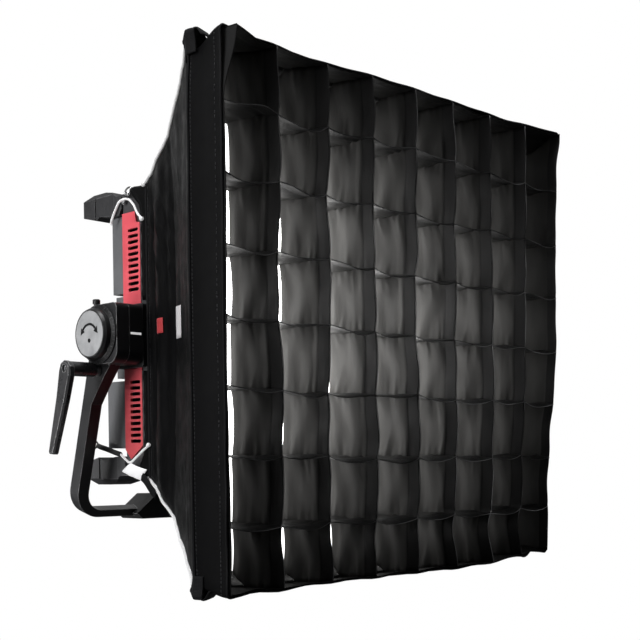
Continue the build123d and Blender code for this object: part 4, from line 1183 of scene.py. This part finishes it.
wt.links.new(mr.outputs[0], bg_light.inputs["Strength"])
wlp = wn("ShaderNodeLightPath")
wmix = wn("ShaderNodeMixShader")
wout = wn("ShaderNodeOutputWorld")
wt.links.new(wlp.outputs["Is Camera Ray"], wmix.inputs[0])
wt.links.new(bg_light.outputs[0], wmix.inputs[1])
wt.links.new(bg_cam.outputs[0], wmix.inputs[2])
wt.links.new(wmix.outputs[0], wout.inputs[0])


def area(name, at, target, size, watts, colour=(1, 1, 1)):
    li = bpy.data.lights.new(name, "AREA")
    li.shape = "RECTANGLE"
    li.size, li.size_y, li.energy, li.color = size[0], size[1], watts, colour
    ob = bpy.data.objects.new(name, li)
    bpy.context.scene.collection.objects.link(ob)
    ob.location = at
    ob.rotation_euler = (Vector(target) - Vector(at)).to_track_quat("-Z", "Y").to_euler()
    ob.visible_camera = False
    return ob


area("soft_left", (-2.7, 0.1, 0.95), (-0.2, -0.2, 0.25), (1.6, 1.7), 60)
low_left = area("low_left", (-1.9, 0.9, -0.5), (-0.2, -0.05, 0.15), (1.2, 0.8), 32)
hard_parts = bpy.data.collections.new("hard_parts_lit")      # this light is for the metal only
for nname, ob in NODES.items():
    if not any(k in nname for k in ("softbox", "grid", "baffle", "diffuser", "pocket")):
        hard_parts.objects.link(ob)
low_left.light_linking.receiver_collection = hard_parts
graze = area("graze", (-0.95, -2.5, 0.75), (-0.27, -0.2, 0.25), (0.5, 1.4), 46)
cloth = bpy.data.collections.new("cloth_lit")                # rakes across the folds of the cover
cloth.objects.link(bpy.data.objects["softbox_cover"])
graze.light_linking.receiver_collection = cloth
area("soft_top", (-0.3, -0.6, 2.6), (0, -0.2, 0.25), (1.8, 1.2), 48)
area("soft_front", (-1.6, -2.8, 0.9), (0, -0.3, 0.2), (1.2, 1.2), 3)

cam_data = bpy.data.cameras.new("camera")
cam = bpy.data.objects.new("camera", cam_data)
bpy.context.scene.collection.objects.link(cam)
cam_data.lens, cam_data.sensor_width, cam_data.sensor_fit = 67.5, 36.0, "HORIZONTAL"
cam_data.clip_end = 100
up = Vector((0.02778, 0.01205, 0.99954))
right = FWD.cross(up).normalized()
up = right.cross(FWD).normalized()
rot = Matrix((right, up, -FWD)).transposed()
CAM_AT = Vector((-1.1747, -1.3734, 0.0714))
cam.matrix_world = Matrix.Translation(CAM_AT) @ rot.to_4x4()
# the lens is raised only at the photo position, so other views stay centred
drv = cam_data.driver_add("shift_y").driver
drv.type = "SCRIPTED"
var = drv.variables.new()
var.name, var.type = "x", "TRANSFORMS"
var.targets[0].id = cam
var.targets[0].transform_type = "LOC_X"
var.targets[0].transform_space = "WORLD_SPACE"
drv.expression = "0.28125*(abs(x+1.1747)<0.0005)"
bpy.context.scene.camera = cam
bpy.context.scene.view_settings.view_transform = "Standard"

bpy.context.view_layer.update()
